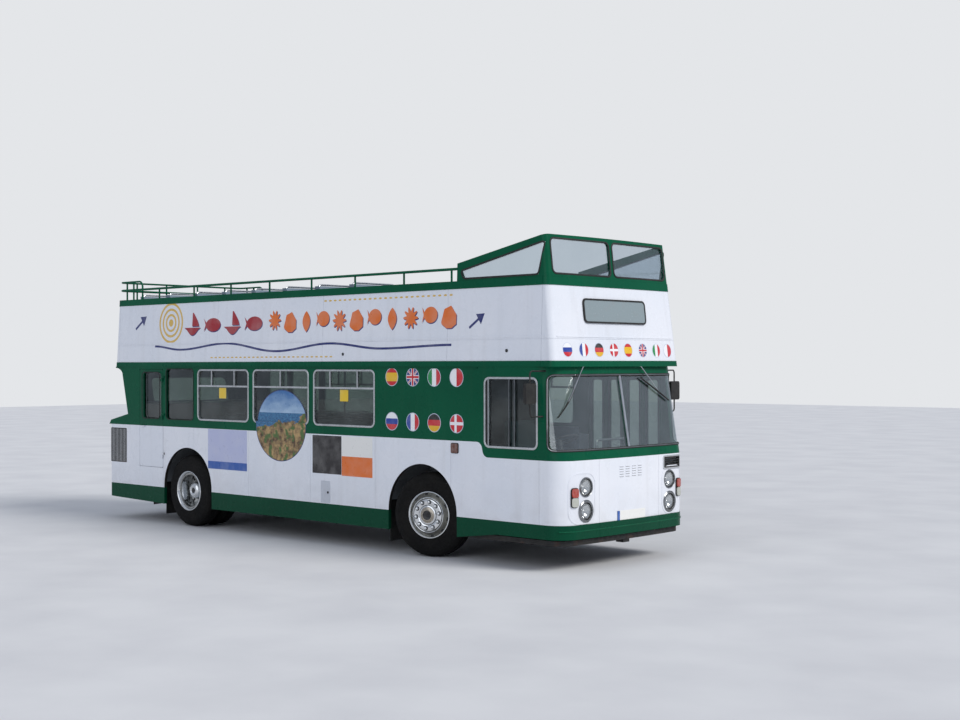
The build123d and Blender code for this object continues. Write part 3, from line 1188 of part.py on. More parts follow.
def fittings():
    """Lamps, grilles, mirrors, wipers, mud flaps and the rails inside."""
    lamps = []
    for side in (-1, 1):
        for z, r in HEADLAMPS:
            bowl = Pos(NOSE_X - 35, side * HEADLAMP_Y, z) * Rot(0, 90, 0) * Cylinder(r, 60)
            rim = Pos(NOSE_X, side * HEADLAMP_Y, z) * Rot(0, 90, 0) * Cone(r + HEADLAMP_RIM, r + 4, 14)
            lamps.append(bowl + rim)
        y0, y1 = sorted((side * CORNER_LAMP_Y[0], side * CORNER_LAMP_Y[1]))
        low, high = CORNER_LAMP_Z
        corner = along(rounded(y0, y1, low, high, 25), NOSE_X - 240, LENGTH)
        shell = lower_solid(low - 45, high + 35, -LAMP_PROUD) - lower_solid(low - 45, high + 35)
        lamps.append(corner & shell)
        for z in REAR_LAMPS:
            lamps.append(Pos(TAIL_X + 20, side * REAR_LAMP_Y, z) * Rot(0, 90, 0) * Cylinder(REAR_LAMP_R, 40))
    side_lamp = across(rounded(*SIDE_LAMP, 12), -HALF_WIDTH - LAMP_PROUD, -HALF_WIDTH)
    add("lamps", *trim_to_box(lamps), *both_sides(side_lamp))

    slats = []
    x0, x1, z0, z1 = SIDE_GRILLE
    grille = across(rounded(x0 + FIT, x1 - FIT, z0 + FIT, z1 - FIT, 20), INNER + 4, HALF_WIDTH)
    count = 11
    pitch = (x1 - x0 - 30) / count
    for i in range(count):
        x = x0 + 15 + i * pitch
        grille -= across(rounded(x + 8, x + pitch - 8, z0 + 25, z1 - 25, 5), INNER, HALF_WIDTH + 10)
    slats += both_sides(grille)
    y0, y1 = FRONT_GRILLE_Y
    z0, z1 = FRONT_GRILLE_Z
    front = lower_solid(z0 + FIT, z1 - FIT, -8) - lower_solid(z0 - 5, z1 + 5, 32)
    front &= block(NOSE_X - 240, LENGTH, y0 + FIT, y1 - FIT, z0 + FIT, z1 - FIT)
    for i in range(4):
        z = z0 + 18 + i * 28
        front -= block(NOSE_X - 240, LENGTH, y0 + 18, y1 - 18, z, z + 18)
    slats.append(front)
    add("grilles", *slats)

    low, high = MIRROR_Z
    head = block(MIRROR_X, MIRROR_X + 40, *MIRROR_Y, low, high)
    head = fillet(head.edges().filter_by(Axis.X), 30)
    x, y, root = MIRROR_X + 20, (MIRROR_Y[0] + MIRROR_Y[1]) / 2, HALF_WIDTH - 80
    arm = tube([(x + 48, root, high + 140), (x, y, high + 140), (x, y, high)], 40, 9)
    lower_arm = tube([(x + 48, root, low - 145), (x, y, low - 145), (x, y, low)], 40, 9)
    mirror_head = head + arm + lower_arm - cab_solid(BELT_FRONT, BAND_TOP, -FIT)
    add("mirrors", *both_sides(mirror_head))

    blades = []
    pivot_x, pivot_z = NOSE_X - SCREEN_LEAN + 67, BAND_TOP + 12
    for pivot_y, tip_y, tip_z in WIPERS:
        tip = (screen_x(tip_z) - edge_drop(tip_y) + 26, tip_y, tip_z)
        spindle = rod((pivot_x - 47, pivot_y, pivot_z), (pivot_x + 8, pivot_y, pivot_z), 20)
        blades.append(rod((pivot_x, pivot_y, pivot_z), tip, 7) + spindle)
    add("wipers", *[blade - deck_solid(BAND_TOP, PANEL_TOP, -7.3) for blade in blades])

    flaps = []
    for x, y0, y1 in ((FRONT_BOX[0] + PLATE, 800, INNER - 25), (REAR_BOX[0] - 8, 600, INNER - 25)):
        flaps += both_sides(block(x, x + 8, y0, y1, 140, 660))
    add("mudflaps", *flaps)

    rails = []
    for x in (-1500, -150, 1200):
        for y in (-275, 275):
            rails.append(rod((x, y, FLOOR_Z), (x, y, BAND_TOP), RAIL_TUBE))
    x = ENTRANCE_X0 + 150
    rails.append(rod((x, 25, PLATFORM_Z), (x, 25, BAND_TOP), RAIL_TUBE))
    x0, x1, y, top = STAIR_X0 - 60, STAIRWELL_X1 + 60, STAIR_INNER_Y + 60, DECK_FLOOR_Z + 890
    rails.append(tube([(x0, y, DECK_FLOOR_Z), (x0, y, top), (x1, y, top), (x1, y, DECK_FLOOR_Z)], 120, RAIL_TUBE))
    add("grab_rails", *rails)


def screen_x(z):
    """Where the cab's front face stands on the centre line at a height."""
    return NOSE_X - SCREEN_LEAN * (z - BELT_FRONT) / (BAND_TOP - BELT_FRONT)


def edge_drop(y):
    """How far the cab's front face stands behind its centre line at a distance from it."""
    flat = HALF_WIDTH - NOSE_RADIUS
    reach = min(abs(y), flat)
    drop = NOSE_CROWN * (reach / flat) ** 2
    past = max(abs(y) - flat, 0.0)
    return drop + NOSE_RADIUS - math.sqrt(NOSE_RADIUS ** 2 - past ** 2)


def trim_to_box(pieces):
    """Keep the lamps inside the body's length."""
    room = block(-HALF_LENGTH, HALF_LENGTH, -WIDTH, WIDTH, -10, LENGTH)
    return [piece & room for piece in pieces]


chassis()
axles()
wheels()
floors()
power()
lower_shell()
bands()
glass()
upper_shell()
stairs()
seats()
cab()
doors()
fittings()

os.makedirs("parts", exist_ok=True)
for name, shape in NODES.items():
    export_step(shape, "parts/" + name + ".step")
print(len(NODES), "sub-parts")
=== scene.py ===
"""Finishes and fine pieces of an open top double decker bus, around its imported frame.

Metres. +X is forward, +Y is the kerb side with the entrance, +Z is up, and the ground is at z = 0.
"""

import json
import math

import bmesh
import bpy
import numpy as np
from mathutils import Matrix, Vector


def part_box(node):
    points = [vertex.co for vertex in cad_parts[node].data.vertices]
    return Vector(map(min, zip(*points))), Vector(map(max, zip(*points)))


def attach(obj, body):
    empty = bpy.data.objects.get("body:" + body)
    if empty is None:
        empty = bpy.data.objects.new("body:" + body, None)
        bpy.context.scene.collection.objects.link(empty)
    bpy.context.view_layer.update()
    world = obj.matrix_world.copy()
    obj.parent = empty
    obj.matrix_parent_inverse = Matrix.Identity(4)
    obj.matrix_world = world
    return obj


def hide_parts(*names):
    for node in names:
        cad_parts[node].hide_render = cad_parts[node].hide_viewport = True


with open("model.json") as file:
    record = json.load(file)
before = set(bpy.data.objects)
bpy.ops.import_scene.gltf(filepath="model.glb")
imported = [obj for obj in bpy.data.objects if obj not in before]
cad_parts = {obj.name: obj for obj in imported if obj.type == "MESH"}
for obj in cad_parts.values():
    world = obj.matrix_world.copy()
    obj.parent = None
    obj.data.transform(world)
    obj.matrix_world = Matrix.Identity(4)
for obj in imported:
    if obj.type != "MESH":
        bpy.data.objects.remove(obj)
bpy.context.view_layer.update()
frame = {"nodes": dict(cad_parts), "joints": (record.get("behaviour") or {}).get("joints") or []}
JOINTS = {joint["name"]: joint for joint in frame["joints"]}
TAU = 2 * math.pi

# Camera of the photograph: place, direction, roll and lens
CAMERA_PLACE = (14.932, -13.583, 2.375)
CAMERA_YAW = 133.160
CAMERA_PITCH = 0.184
CAMERA_ROLL = -0.080
CAMERA_LENS = 53.456
SENSOR_WIDTH = 36.0

# Sizes read from the frame
SIDE_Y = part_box("lower_panels")[1].y
TAIL_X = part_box("lower_panels")[0].x
NOSE_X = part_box("lower_panels")[1].x
BAND_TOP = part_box("upper_deck_panels")[0].z
EAVE_TOP = BAND_TOP + 0.069
DECK_NOSE_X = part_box("upper_deck_panels")[1].x - 0.007
BELT_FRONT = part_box("windscreen_surround")[0].z
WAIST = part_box("window_bands")[0].z
TYRE_LOW, TYRE_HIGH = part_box("tyre_front_right")
TYRE_RADIUS = (TYRE_HIGH.z - TYRE_LOW.z) / 2
ARCH_REACH = TYRE_RADIUS + 0.16

# Form of the body: leans for each metre of height, then bows and corners in plan, and how far the windscreen
# leans in over its whole height
DECK_NOSE_LEAN = 0.115
DECK_SIDE_LEAN = 0.038
DECK_CROWN = 0.022
DECK_CORNER = 0.075
NOSE_CROWN = 0.025
NOSE_CORNER = 0.260
SCREEN_LEAN = 0.180

# The sloping wall over the engine, from its foot to its head, as (x, z)
REAR_WALL = ((-4.130, 1.620), (-4.310, 2.350))

# Thickness of printed film, and how far the side windows' glass lies behind the panels
STICKER = 0.0012
GLASS_SET_IN = 0.0238


def srgb(code, alpha=1.0):
    """A linear colour from a six digit web colour: each channel goes through the display's curve."""
    channels = np.array([int(code[i:i + 2], 16) for i in (0, 2, 4)]) / 255
    linear = np.where(channels <= 0.04045, channels / 12.92, ((channels + 0.055) / 1.055) ** 2.4)
    return (*linear.tolist(), alpha)


class Finish:
    """A material under construction, with short ways to add its nodes."""

    def __init__(self, name, colour, roughness=0.5, metallic=0.0, **sockets):
        self.material = bpy.data.materials.new(name)
        self.material.use_nodes = True
        self.tree = self.material.node_tree
        self.tree.nodes.clear()
        self.shader = self.tree.nodes.new("ShaderNodeBsdfPrincipled")
        self.output = self.tree.nodes.new("ShaderNodeOutputMaterial")
        self.link(self.shader.outputs[0], self.output.inputs["Surface"])
        self.coordinates = self.tree.nodes.new("ShaderNodeTexCoord")
        self.shader.inputs["Base Color"].default_value = colour
        self.shader.inputs["Roughness"].default_value = roughness
        self.shader.inputs["Metallic"].default_value = metallic
        for socket, value in sockets.items():
            self.shader.inputs[socket.replace("_", " ")].default_value = value

    def link(self, source, target):
        self.tree.links.new(source, target)

    def put(self, value, target):
        """Link a socket, or set a constant."""
        if isinstance(value, bpy.types.NodeSocket):
            self.link(value, target)
        else:
            target.default_value = value

    def noise(self, scale, detail=3.0, stretch=(1, 1, 1)):
        """Cloudy noise, its place stretched along each axis."""
        place = self.tree.nodes.new("ShaderNodeMapping")
        place.inputs["Scale"].default_value = stretch
        self.link(self.coordinates.outputs["Object"], place.inputs["Vector"])
        node = self.tree.nodes.new("ShaderNodeTexNoise")
        node.inputs["Scale"].default_value = scale
        node.inputs["Detail"].default_value = detail
        self.link(place.outputs[0], node.inputs["Vector"])
        return node.outputs["Fac"]

    def cells(self, scale):
        """Distance from the middle of the nearest cell."""
        node = self.tree.nodes.new("ShaderNodeTexVoronoi")
        node.inputs["Scale"].default_value = scale
        self.link(self.coordinates.outputs["Object"], node.inputs["Vector"])
        return node.outputs["Distance"]

    def wave(self, scale, direction):
        """Even bands that follow one another along a direction."""
        node = self.tree.nodes.new("ShaderNodeTexWave")
        node.bands_direction = direction
        node.inputs["Scale"].default_value = scale
        self.link(self.coordinates.outputs["Object"], node.inputs["Vector"])
        return node.outputs["Fac"]

    def math(self, operation, a, b=0.0, clamp=False):
        """One step of arithmetic on sockets or constants."""
        node = self.tree.nodes.new("ShaderNodeMath")
        node.operation = operation
        node.use_clamp = clamp
        self.put(a, node.inputs[0])
        self.put(b, node.inputs[1])
        return node.outputs[0]

    def ramp(self, value, low, high, out_low=0.0, out_high=1.0):
        """A straight ramp: out_low where value is low or less, out_high where it is high or more."""
        node = self.tree.nodes.new("ShaderNodeMapRange")
        node.inputs["From Min"].default_value = low
        node.inputs["From Max"].default_value = high
        node.inputs["To Min"].default_value = out_low
        node.inputs["To Max"].default_value = out_high
        self.put(value, node.inputs["Value"])
        return node.outputs[0]

    def mix(self, share, a, b):
        """Colour a, or colour b where the share is 1."""
        node = self.tree.nodes.new("ShaderNodeMix")
        node.data_type = "RGBA"
        self.put(share, node.inputs["Factor"])
        self.put(a, node.inputs["A"])
        self.put(b, node.inputs["B"])
        return node.outputs["Result"]

    def axis(self, name, kind="Object"):
        """One coordinate of the place, by name."""
        node = self.tree.nodes.new("ShaderNodeSeparateXYZ")
        self.link(self.coordinates.outputs[kind], node.inputs[0])
        return node.outputs["XYZ".index(name)]

    def colour(self, value):
        """Base colour from a socket."""
        self.put(value, self.shader.inputs["Base Color"])

    def rough(self, value):
        """Roughness from a socket."""
        self.put(value, self.shader.inputs["Roughness"])

    def bump(self, height, distance, strength):
        """Relief by a height, on top of the relief that is there."""
        node = self.tree.nodes.new("ShaderNodeBump")
        node.inputs["Distance"].default_value = distance
        node.inputs["Strength"].default_value = strength
        if self.shader.inputs["Normal"].is_linked:
            self.link(self.shader.inputs["Normal"].links[0].from_socket, node.inputs["Normal"])
        self.link(height, node.inputs["Height"])
        self.link(node.outputs[0], self.shader.inputs["Normal"])


ROAD_DUST = srgb("8A8072")
ROAD_GRIME = srgb("2E2A24")


def painted(f, code, fade_code, dust):
    """Colour of coach paint: a faint fade in clouds, streaks that run down, and road film near the ground."""
    body = f.mix(f.ramp(f.noise(1.3, 4), 0.35, 0.75), srgb(code), srgb(fade_code))
    streak = f.ramp(f.noise(9.0, 3, (1, 1, 0.07)), 0.52, 0.80, 0.0, 0.30 * dust)
    body = f.mix(streak, body, ROAD_DUST)
    height = f.ramp(f.axis("Z"), 0.28, 0.95, dust, 0.0)
    spatter = f.ramp(f.noise(5.0, 7), 0.40, 0.75, 0.15, 1.0)
    return f.mix(f.math("MULTIPLY", height, spatter), body, ROAD_DUST)


def gloss_paint(name, code, fade_code, dust=0.35, sheen=0.35, shine=0.3):
    """Coach paint with light waviness."""
    f = Finish(name, srgb(code), 0.28, Coat_Weight=sheen, Coat_Roughness=0.08, Specular_IOR_Level=shine)
    f.colour(painted(f, code, fade_code, dust))
    f.rough(f.ramp(f.noise(5.0, 4), 0.3, 0.7, 0.20, 0.40))
    f.bump(f.noise(2.2, 2), 0.004, 0.35)
    f.bump(f.noise(240.0, 1), 0.0002, 0.25)
    return f.material


def two_tone_paint(name, above, below, level):
    """Coach paint of one colour over a level and another under it."""
    f = Finish(name, srgb(above), 0.28, Coat_Weight=0.03, Coat_Roughness=0.08, Specular_IOR_Level=0.12)
    over = f.math("GREATER_THAN", f.axis("Z"), level)
    f.colour(f.mix(over, painted(f, below, below, 0.3), painted(f, above, above, 0.1)))
    f.rough(f.ramp(f.noise(5.0, 4), 0.3, 0.7, 0.20, 0.40))
    f.bump(f.noise(2.2, 2), 0.004, 0.35)
    return f.material


def bare_metal(name, code, roughness=0.32, scale=60.0, grime=0.35):
    """Metal with fine brushing and dull patches."""
    f = Finish(name, srgb(code), roughness, 1.0)
    patch = f.ramp(f.noise(11.0, 4), 0.45, 0.75, 0.0, grime)
    f.colour(f.mix(patch, srgb(code), ROAD_GRIME))
    f.rough(f.ramp(f.noise(scale, 3), 0.3, 0.7, roughness * 0.7, roughness * 1.5))
    f.bump(f.noise(scale * 4, 2), 0.0003, 0.3)
    return f.material


def dull_coat(name, code, roughness=0.6, rust=0.25):
    """Chassis and cast pieces: matt coating with rust and road film."""
    f = Finish(name, srgb(code), roughness)
    rusty = f.ramp(f.noise(7.0, 6), 0.55, 0.70, 0.0, rust)
    coat = f.mix(rusty, srgb(code), srgb("5A3420"))
    film = f.ramp(f.noise(3.0, 4), 0.40, 0.80, 0.0, 0.40)
    f.colour(f.mix(film, coat, srgb("3A352E")))
    f.rough(f.ramp(f.noise(20.0, 3), 0.3, 0.7, roughness - 0.12, roughness + 0.2))
    f.bump(f.noise(70.0, 4), 0.0012, 0.6)
    return f.material


def soft_rubber(name, code, roughness=0.62, dust=0.12):
    """Rubber: dark, slightly dusty, with a fine skin."""
    f = Finish(name, srgb(code), roughness)
    film = f.ramp(f.noise(9.0, 5), 0.42, 0.75, 0.0, dust)
    f.colour(f.mix(film, srgb(code), srgb("6B665C")))
    f.rough(f.ramp(f.noise(30.0, 3), 0.3, 0.7, roughness - 0.1, roughness + 0.15))
    f.bump(f.noise(420.0, 3), 0.0004, 0.5)
    return f.material


def tyre_rubber():
    """Tyre: black, with a brown dust film in streaks and a scuffed skin."""
    f = Finish("tyre_rubber", srgb("0C0C0C"), 0.75, Specular_IOR_Level=0.18)
    film = f.ramp(f.noise(5.0, 6), 0.42, 0.75, 0.04, 0.35)
    f.colour(f.mix(film, srgb("0B0B0B"), srgb("26231F")))
    f.rough(f.ramp(f.noise(40.0, 4), 0.3, 0.7, 0.62, 0.9))
    f.bump(f.noise(180.0, 4), 0.0008, 0.6)
    return f.material


def clear_pane(name, tint, film=0.035, glancing=0.80, dust=0.05):
    """A thin pane: see-through with a light tint, and a mirror film whose share grows at a glancing angle."""
    f = Finish(name, srgb("E9EDEE"), 0.03, 1.0)
    clear = f.tree.nodes.new("ShaderNodeBsdfTransparent")
    clear.inputs["Color"].default_value = srgb(tint)
    edge = f.tree.nodes.new("ShaderNodeLayerWeight")
    edge.inputs["Blend"].default_value = 0.5
    glance = f.math("POWER", edge.outputs["Facing"], 3.0)
    share = f.ramp(glance, 0.0, 1.0, film, glancing)
    smear = f.ramp(f.noise(2.5, 5), 0.40, 0.80, 0.0, dust)
    f.rough(f.ramp(f.noise(3.5, 5), 0.45, 0.85, 0.015, 0.12))
    blend = f.tree.nodes.new("ShaderNodeMixShader")
    f.link(f.math("ADD", share, smear, True), blend.inputs["Fac"])
    f.link(clear.outputs[0], blend.inputs[1])
    f.link(f.shader.outputs[0], blend.inputs[2])
    f.link(blend.outputs[0], f.output.inputs["Surface"])
    return f.material


def moquette():
    """Seat cloth: blue pile with a small woven fleck and a worn lighter tone."""
    f = Finish("moquette", srgb("2C4A7C"), 0.9, Sheen_Weight=0.5, Sheen_Roughness=0.4)
    fleck = f.ramp(f.cells(55.0), 0.18, 0.30)
    wear = f.ramp(f.noise(4.0, 4), 0.4, 0.75, 0.0, 0.4)
    cloth = f.mix(fleck, srgb("7E93B8"), srgb("2C4A7C"))
    f.colour(f.mix(wear, cloth, srgb("56698A")))
    f.bump(f.noise(900.0, 2), 0.0006, 0.6)
    f.bump(f.wave(160.0, "X"), 0.0005, 0.35)
    return f.material


def moulded_shell(name, code, roughness=0.42):
    """Moulded plastic: fine grain, scuffs and an even tone."""
    f = Finish(name, srgb(code), roughness)
    scuff = f.ramp(f.noise(13.0, 6), 0.52, 0.75, 0.0, 0.3)
    f.colour(f.mix(scuff, srgb(code), srgb("8D8F90")))
    f.rough(f.ramp(f.noise(25.0, 3), 0.3, 0.7, roughness - 0.1, roughness + 0.14))
    f.bump(f.noise(700.0, 2), 0.0003, 0.5)
    return f.material


def ribbed_floor():
    """Floor covering: narrow ribs along the bus, grey, with trodden dirt."""
    f = Finish("ribbed_floor", srgb("4A4C4F"), 0.6)
    tread = f.ramp(f.noise(6.0, 5), 0.4, 0.7, 0.0, 0.5)
    f.colour(f.mix(tread, srgb("4A4C4F"), srgb("6E675C")))
    f.bump(f.wave(40.0, "Y"), 0.0015, 0.6)
    f.bump(f.noise(150.0, 3), 0.0004, 0.5)
    return f.material


MAT = {
    "green": gloss_paint("coach_green", "034F36", "05583C", 0.05, 0.02, 0.10),
    "white": gloss_paint("coach_white", "E6E8EE", "DEE2EA", 0.30, 0.30),
    "door_paint": two_tone_paint("door_paint", "034F36", "E2E5EC", WAIST),
    "black_steel": dull_coat("chassis_black", "161616", 0.62, 0.35),
    "grey_steel": dull_coat("lining_grey", "7C8084", 0.55, 0.05),
    "bright_metal": bare_metal("window_aluminium", "C9CBCC", 0.30, 60.0, 0.22),
    "chrome": bare_metal("chrome_plate", "DADCDD", 0.10, 30.0, 0.18),
    "wheel_metal": bare_metal("wheel_steel", "A9A9A6", 0.30, 40.0, 0.5),
    "rail_steel": bare_metal("rail_tube", "BFC2C4", 0.28, 80.0, 0.15),
    # Saloon glass: a darker tint than the other panes, partly the glass's own tint and partly painted shade
    # of the saloon seen through it
    "glass": clear_pane("saloon_glass_shade_tint", "B9C2BE"),
    "deck_glass": clear_pane("deck_glass", "E6ECF0", 0.12, 0.35),
    "screen_glass": clear_pane("windscreen_glass", "F0F4F3", 0.13, 0.80),
    "display_pane": moulded_shell("display_glass", "8A979B", 0.16),
    "lamp_ring": bare_metal("lamp_ring", "8E9092", 0.22, 40.0, 0.25),
    "mirror": bare_metal("mirror_silver", "E8EAEC", 0.03, 20.0, 0.04),
    "piping": soft_rubber("piping_vinyl", "1C2436", 0.5, 0.15),
    "flap_grey": gloss_paint("flap_grey", "C6CAD2", "BFC4CE", 0.3, 0.2),
    "rubber": soft_rubber("seal_rubber", "141414"),
    "tyre": tyre_rubber(),
    "floor": ribbed_floor(),
    "cloth": moquette(),
    "shell": moulded_shell("seat_shell_grey", "6F7E8C"),
    "display": moulded_shell("display_black", "17181A", 0.25),
    "cab": moulded_shell("fascia_grey", "26272A", 0.5),
    "cast": dull_coat("cast_steel", "23211F", 0.7, 0.45),
    "brass": bare_metal("brass_cap", "AFA79A", 0.26, 40.0, 0.30),
    "cone_metal": bare_metal("wheel_cone", "77766F", 0.34, 40.0, 0.6),
    "bar_grey": bare_metal("sliding_bar", "7C8083", 0.35, 60.0, 0.3),
    # Skirt green: darker than the coach green, partly painted shade of the downward-facing skirts and partly
    # road dirt
    "skirt": gloss_paint("skirt_green_painted_shade", "02412C", "03462F", 0.0, 0.02, 0.10),
}


NODE_FINISH = {
    "green": ("window_bands", "rear_wall", "windscreen_surround", "deck_capping",
              "screen_frame", "guard_rails", "door_leaf_1", "door_leaf_2", "door_leaf_3", "door_leaf_4"),
    "skirt": ("skirt_panels",),
    "white": ("lower_panels", "upper_deck_panels", "engine_cover"),
    "door_paint": ("emergency_door",),
    "black_steel": ("chassis_rails", "cross_members", "tanks", "grilles", "wipers"),
    "grey_steel": ("wheel_boxes", "floor_risers", "staircase"),
    "bright_metal": ("window_frames",),
    "wheel_metal": ("wheel_front_right", "wheel_front_left", "wheels_rear_right", "wheels_rear_left"),
    "rail_steel": ("grab_rails",),
    "glass": ("glazing", "emergency_glass", "door_glass_1", "door_glass_2", "door_glass_3", "door_glass_4"),
    "screen_glass": ("windscreen",),
    "rubber": ("mirrors", "mudflaps"),
    "tyre": ("tyre_front_right", "tyre_front_left", "tyres_rear_right", "tyres_rear_left"),
    "floor": ("lower_floor", "upper_floor"),
    "cloth": ("seat_cushions",),
    "shell": ("seat_backs",),
    "display": ("destination_box", "lamps"),
    "cab": ("cab_fittings", "steering_wheel"),
    "cast": ("front_axle", "rear_axle", "power_unit", "exhaust", "knuckle_right", "knuckle_left",
             "track_rod"),
}


def dress_nodes():
    """Give each carried-over node its finish, and some faces of five of them a second one."""
    for finish, names in NODE_FINISH.items():
        for name in names:
            mesh = frame["nodes"][name].data
            mesh.materials.clear()
            mesh.materials.append(MAT[finish])
    axles = [JOINTS[name]["pos_m"] for name in ("front_wheel_right_spin", "rear_wheels_right_spin")]

    def in_arch(low, high, normal):
        reach = min(max(abs(low.x - x), abs(high.x - x), high.z - z) for x, _, z in axles)
        return abs(normal.y) < 0.3 and reach < ARCH_REACH

    second_finish("upper_deck_panels", "green", lambda low, high, normal: high.z < EAVE_TOP)
    second_finish("glazing", "deck_glass", lambda low, high, normal: low.z > EAVE_TOP)
    # Black on the lower floor's underside and edges: partly the underside's own black coat, partly painted
    # shade under the body
    second_finish("lower_floor", "black_steel", lambda low, high, normal: normal.z < 0.5)
    second_finish("upper_floor", "white", lambda low, high, normal: normal.z < -0.5)
    # Black on the faces round the wheel arches that do not face sideways: painted shade inside the arches
    second_finish("lower_panels", "black_steel", in_arch)


def second_finish(node, finish, chosen):
    """Give some faces of a node another finish, by the corners of their boxes and their normals."""
    mesh = frame["nodes"][node].data
    mesh.materials.append(MAT[finish])
    for face in mesh.polygons:
        corners = np.array([mesh.vertices[index].co for index in face.vertices])
        if chosen(Vector(corners.min(axis=0)), Vector(corners.max(axis=0)), face.normal):
            face.material_index = 1


def islands(node):
    """Lowest and highest corners of each loose solid of a node, as an array (solids, 2, 3), from the tail on.

    Corners closer than a tenth of a millimetre are one point, and each triangle passes on its smallest label
    until nothing changes."""
    mesh = frame["nodes"][node].data
    co = np.zeros(len(mesh.vertices) * 3)
    mesh.vertices.foreach_get("co", co)
    mesh.calc_loop_triangles()
    tri = np.zeros(len(mesh.loop_triangles) * 3, int)
    mesh.loop_triangles.foreach_get("vertices", tri)
    points, same = np.unique(np.round(co.reshape(-1, 3), 4), axis=0, return_inverse=True)
    tri = same.reshape(-1)[tri].reshape(-1, 3)
    label = np.arange(len(points))
    while True:
        least = label[tri].min(axis=1)
        fresh = label.copy()
        np.minimum.at(fresh, tri.ravel(), np.repeat(least, 3))
        fresh = fresh[fresh]
        if (fresh == label).all():
            break
        label = fresh
    boxes = [(points[label == k].min(0), points[label == k].max(0)) for k in np.unique(label)]
    return np.array(sorted(boxes, key=lambda box: (round(box[0][0], 2), box[0][1])))


def grid_quads(rows, columns, wrap=False):
    """Quads between the points of a grid, row after row; wrap joins the last column to the first."""
    across = columns if wrap else columns - 1
    i, j = np.meshgrid(np.arange(rows - 1), np.arange(across), indexing="ij")
    k = (j + 1) % columns
    row, next_row = i * columns, (i + 1) * columns
    quads = np.stack([row + j, row + k, next_row + k, next_row + j], axis=-1)
    return quads.reshape(-1, 4).tolist()


def merged(shapes):
    """Several shapes as one: the faces of each are shifted past the points before it."""
    points, faces, start = [], [], 0
    for shape_points, shape_faces in shapes:
        points.append(np.asarray(shape_points, float).reshape(-1, 3))
        faces += [[start + index for index in face] for face in shape_faces]
        start += len(points[-1])
    return np.concatenate(points), faces


def piece(name, shapes, material, body="root", smooth=True, uv=None):
    """One object from one or more shapes, with its doubles merged, its faces outwards, on a body."""
    if isinstance(shapes, tuple):
        shapes = [shapes]
    points, faces = merged(shapes)
    mesh = bpy.data.meshes.new(name)
    mesh.from_pydata(points.tolist(), [], faces)
    tidy = bmesh.new()
    tidy.from_mesh(mesh)
    bmesh.ops.remove_doubles(tidy, verts=tidy.verts, dist=1e-6)
    bmesh.ops.recalc_face_normals(tidy, faces=tidy.faces)
    tidy.to_mesh(mesh)
    tidy.free()
    mesh.polygons.foreach_set("use_smooth", [smooth] * len(mesh.polygons))
    if smooth:
        mesh.set_sharp_from_angle(angle=math.radians(35))
    mesh.materials.append(MAT[material] if isinstance(material, str) else material)
    if uv is not None:
        layer = mesh.uv_layers.new(name="face_map")
        co = np.zeros(len(mesh.vertices) * 3)
        mesh.vertices.foreach_get("co", co)
        corner = np.zeros(len(mesh.loops), int)
        mesh.loops.foreach_get("vertex_index", corner)
        layer.data.foreach_set("uv", uv(co.reshape(-1, 3))[corner].ravel())
    thing = bpy.data.objects.new(name, mesh)
    bpy.context.scene.collection.objects.link(thing)
    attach(thing, body)
    return thing


def frame_of(axis):
    """The axis at unit length, and two unit vectors square to it and to each other."""
    axis = np.asarray(axis, float) / np.linalg.norm(axis)
    helper = np.array([0.0, 0.0, 1.0]) if abs(axis[2]) < 0.9 else np.array([1.0, 0.0, 0.0])
    first = np.cross(helper, axis)
    first /= np.linalg.norm(first)
    return axis, first, np.cross(axis, first)


def lathe(profile, centre, axis, steps=48):
    """A profile of (distance from the axis, distance along it) turned once about the axis:
    point = centre + along x axis + radius x (cos a x first + sin a x second)."""
    axis, first, second = frame_of(axis)
    radius, along = np.asarray(profile, float).T
    angle = np.linspace(0, TAU, steps, endpoint=False)
    around = np.cos(angle)[:, None] * first + np.sin(angle)[:, None] * second
    points = centre + along[:, None, None] * axis + radius[:, None, None] * around[None]
    return points.reshape(-1, 3), grid_quads(len(radius), steps, True)


def closed_lathe(profile, centre, axis, steps=48):
    """A lathe whose profile is a loop, so that the solid is a ring."""
    loop = np.vstack([profile, profile[:1]])
    return lathe(loop, centre, axis, steps)


def smooth_path(points, bend, steps=6):
    """A path of straight runs whose corners are quadratic curves that start and end a bend's length away."""
    points = np.asarray(points, float)
    route = [points[:1]]
    t = np.linspace(0, 1, steps)[:, None]
    for before, corner, after in zip(points[:-2], points[1:-1], points[2:]):
        reach_in = min(bend, 0.49 * np.linalg.norm(before - corner))
        reach_out = min(bend, 0.49 * np.linalg.norm(after - corner))
        start = corner + (before - corner) / np.linalg.norm(before - corner) * reach_in
        end = corner + (after - corner) / np.linalg.norm(after - corner) * reach_out
        route.append((1 - t) ** 2 * start + 2 * t * (1 - t) * corner + t ** 2 * end)
    route.append(points[-1:])
    return np.concatenate(route)


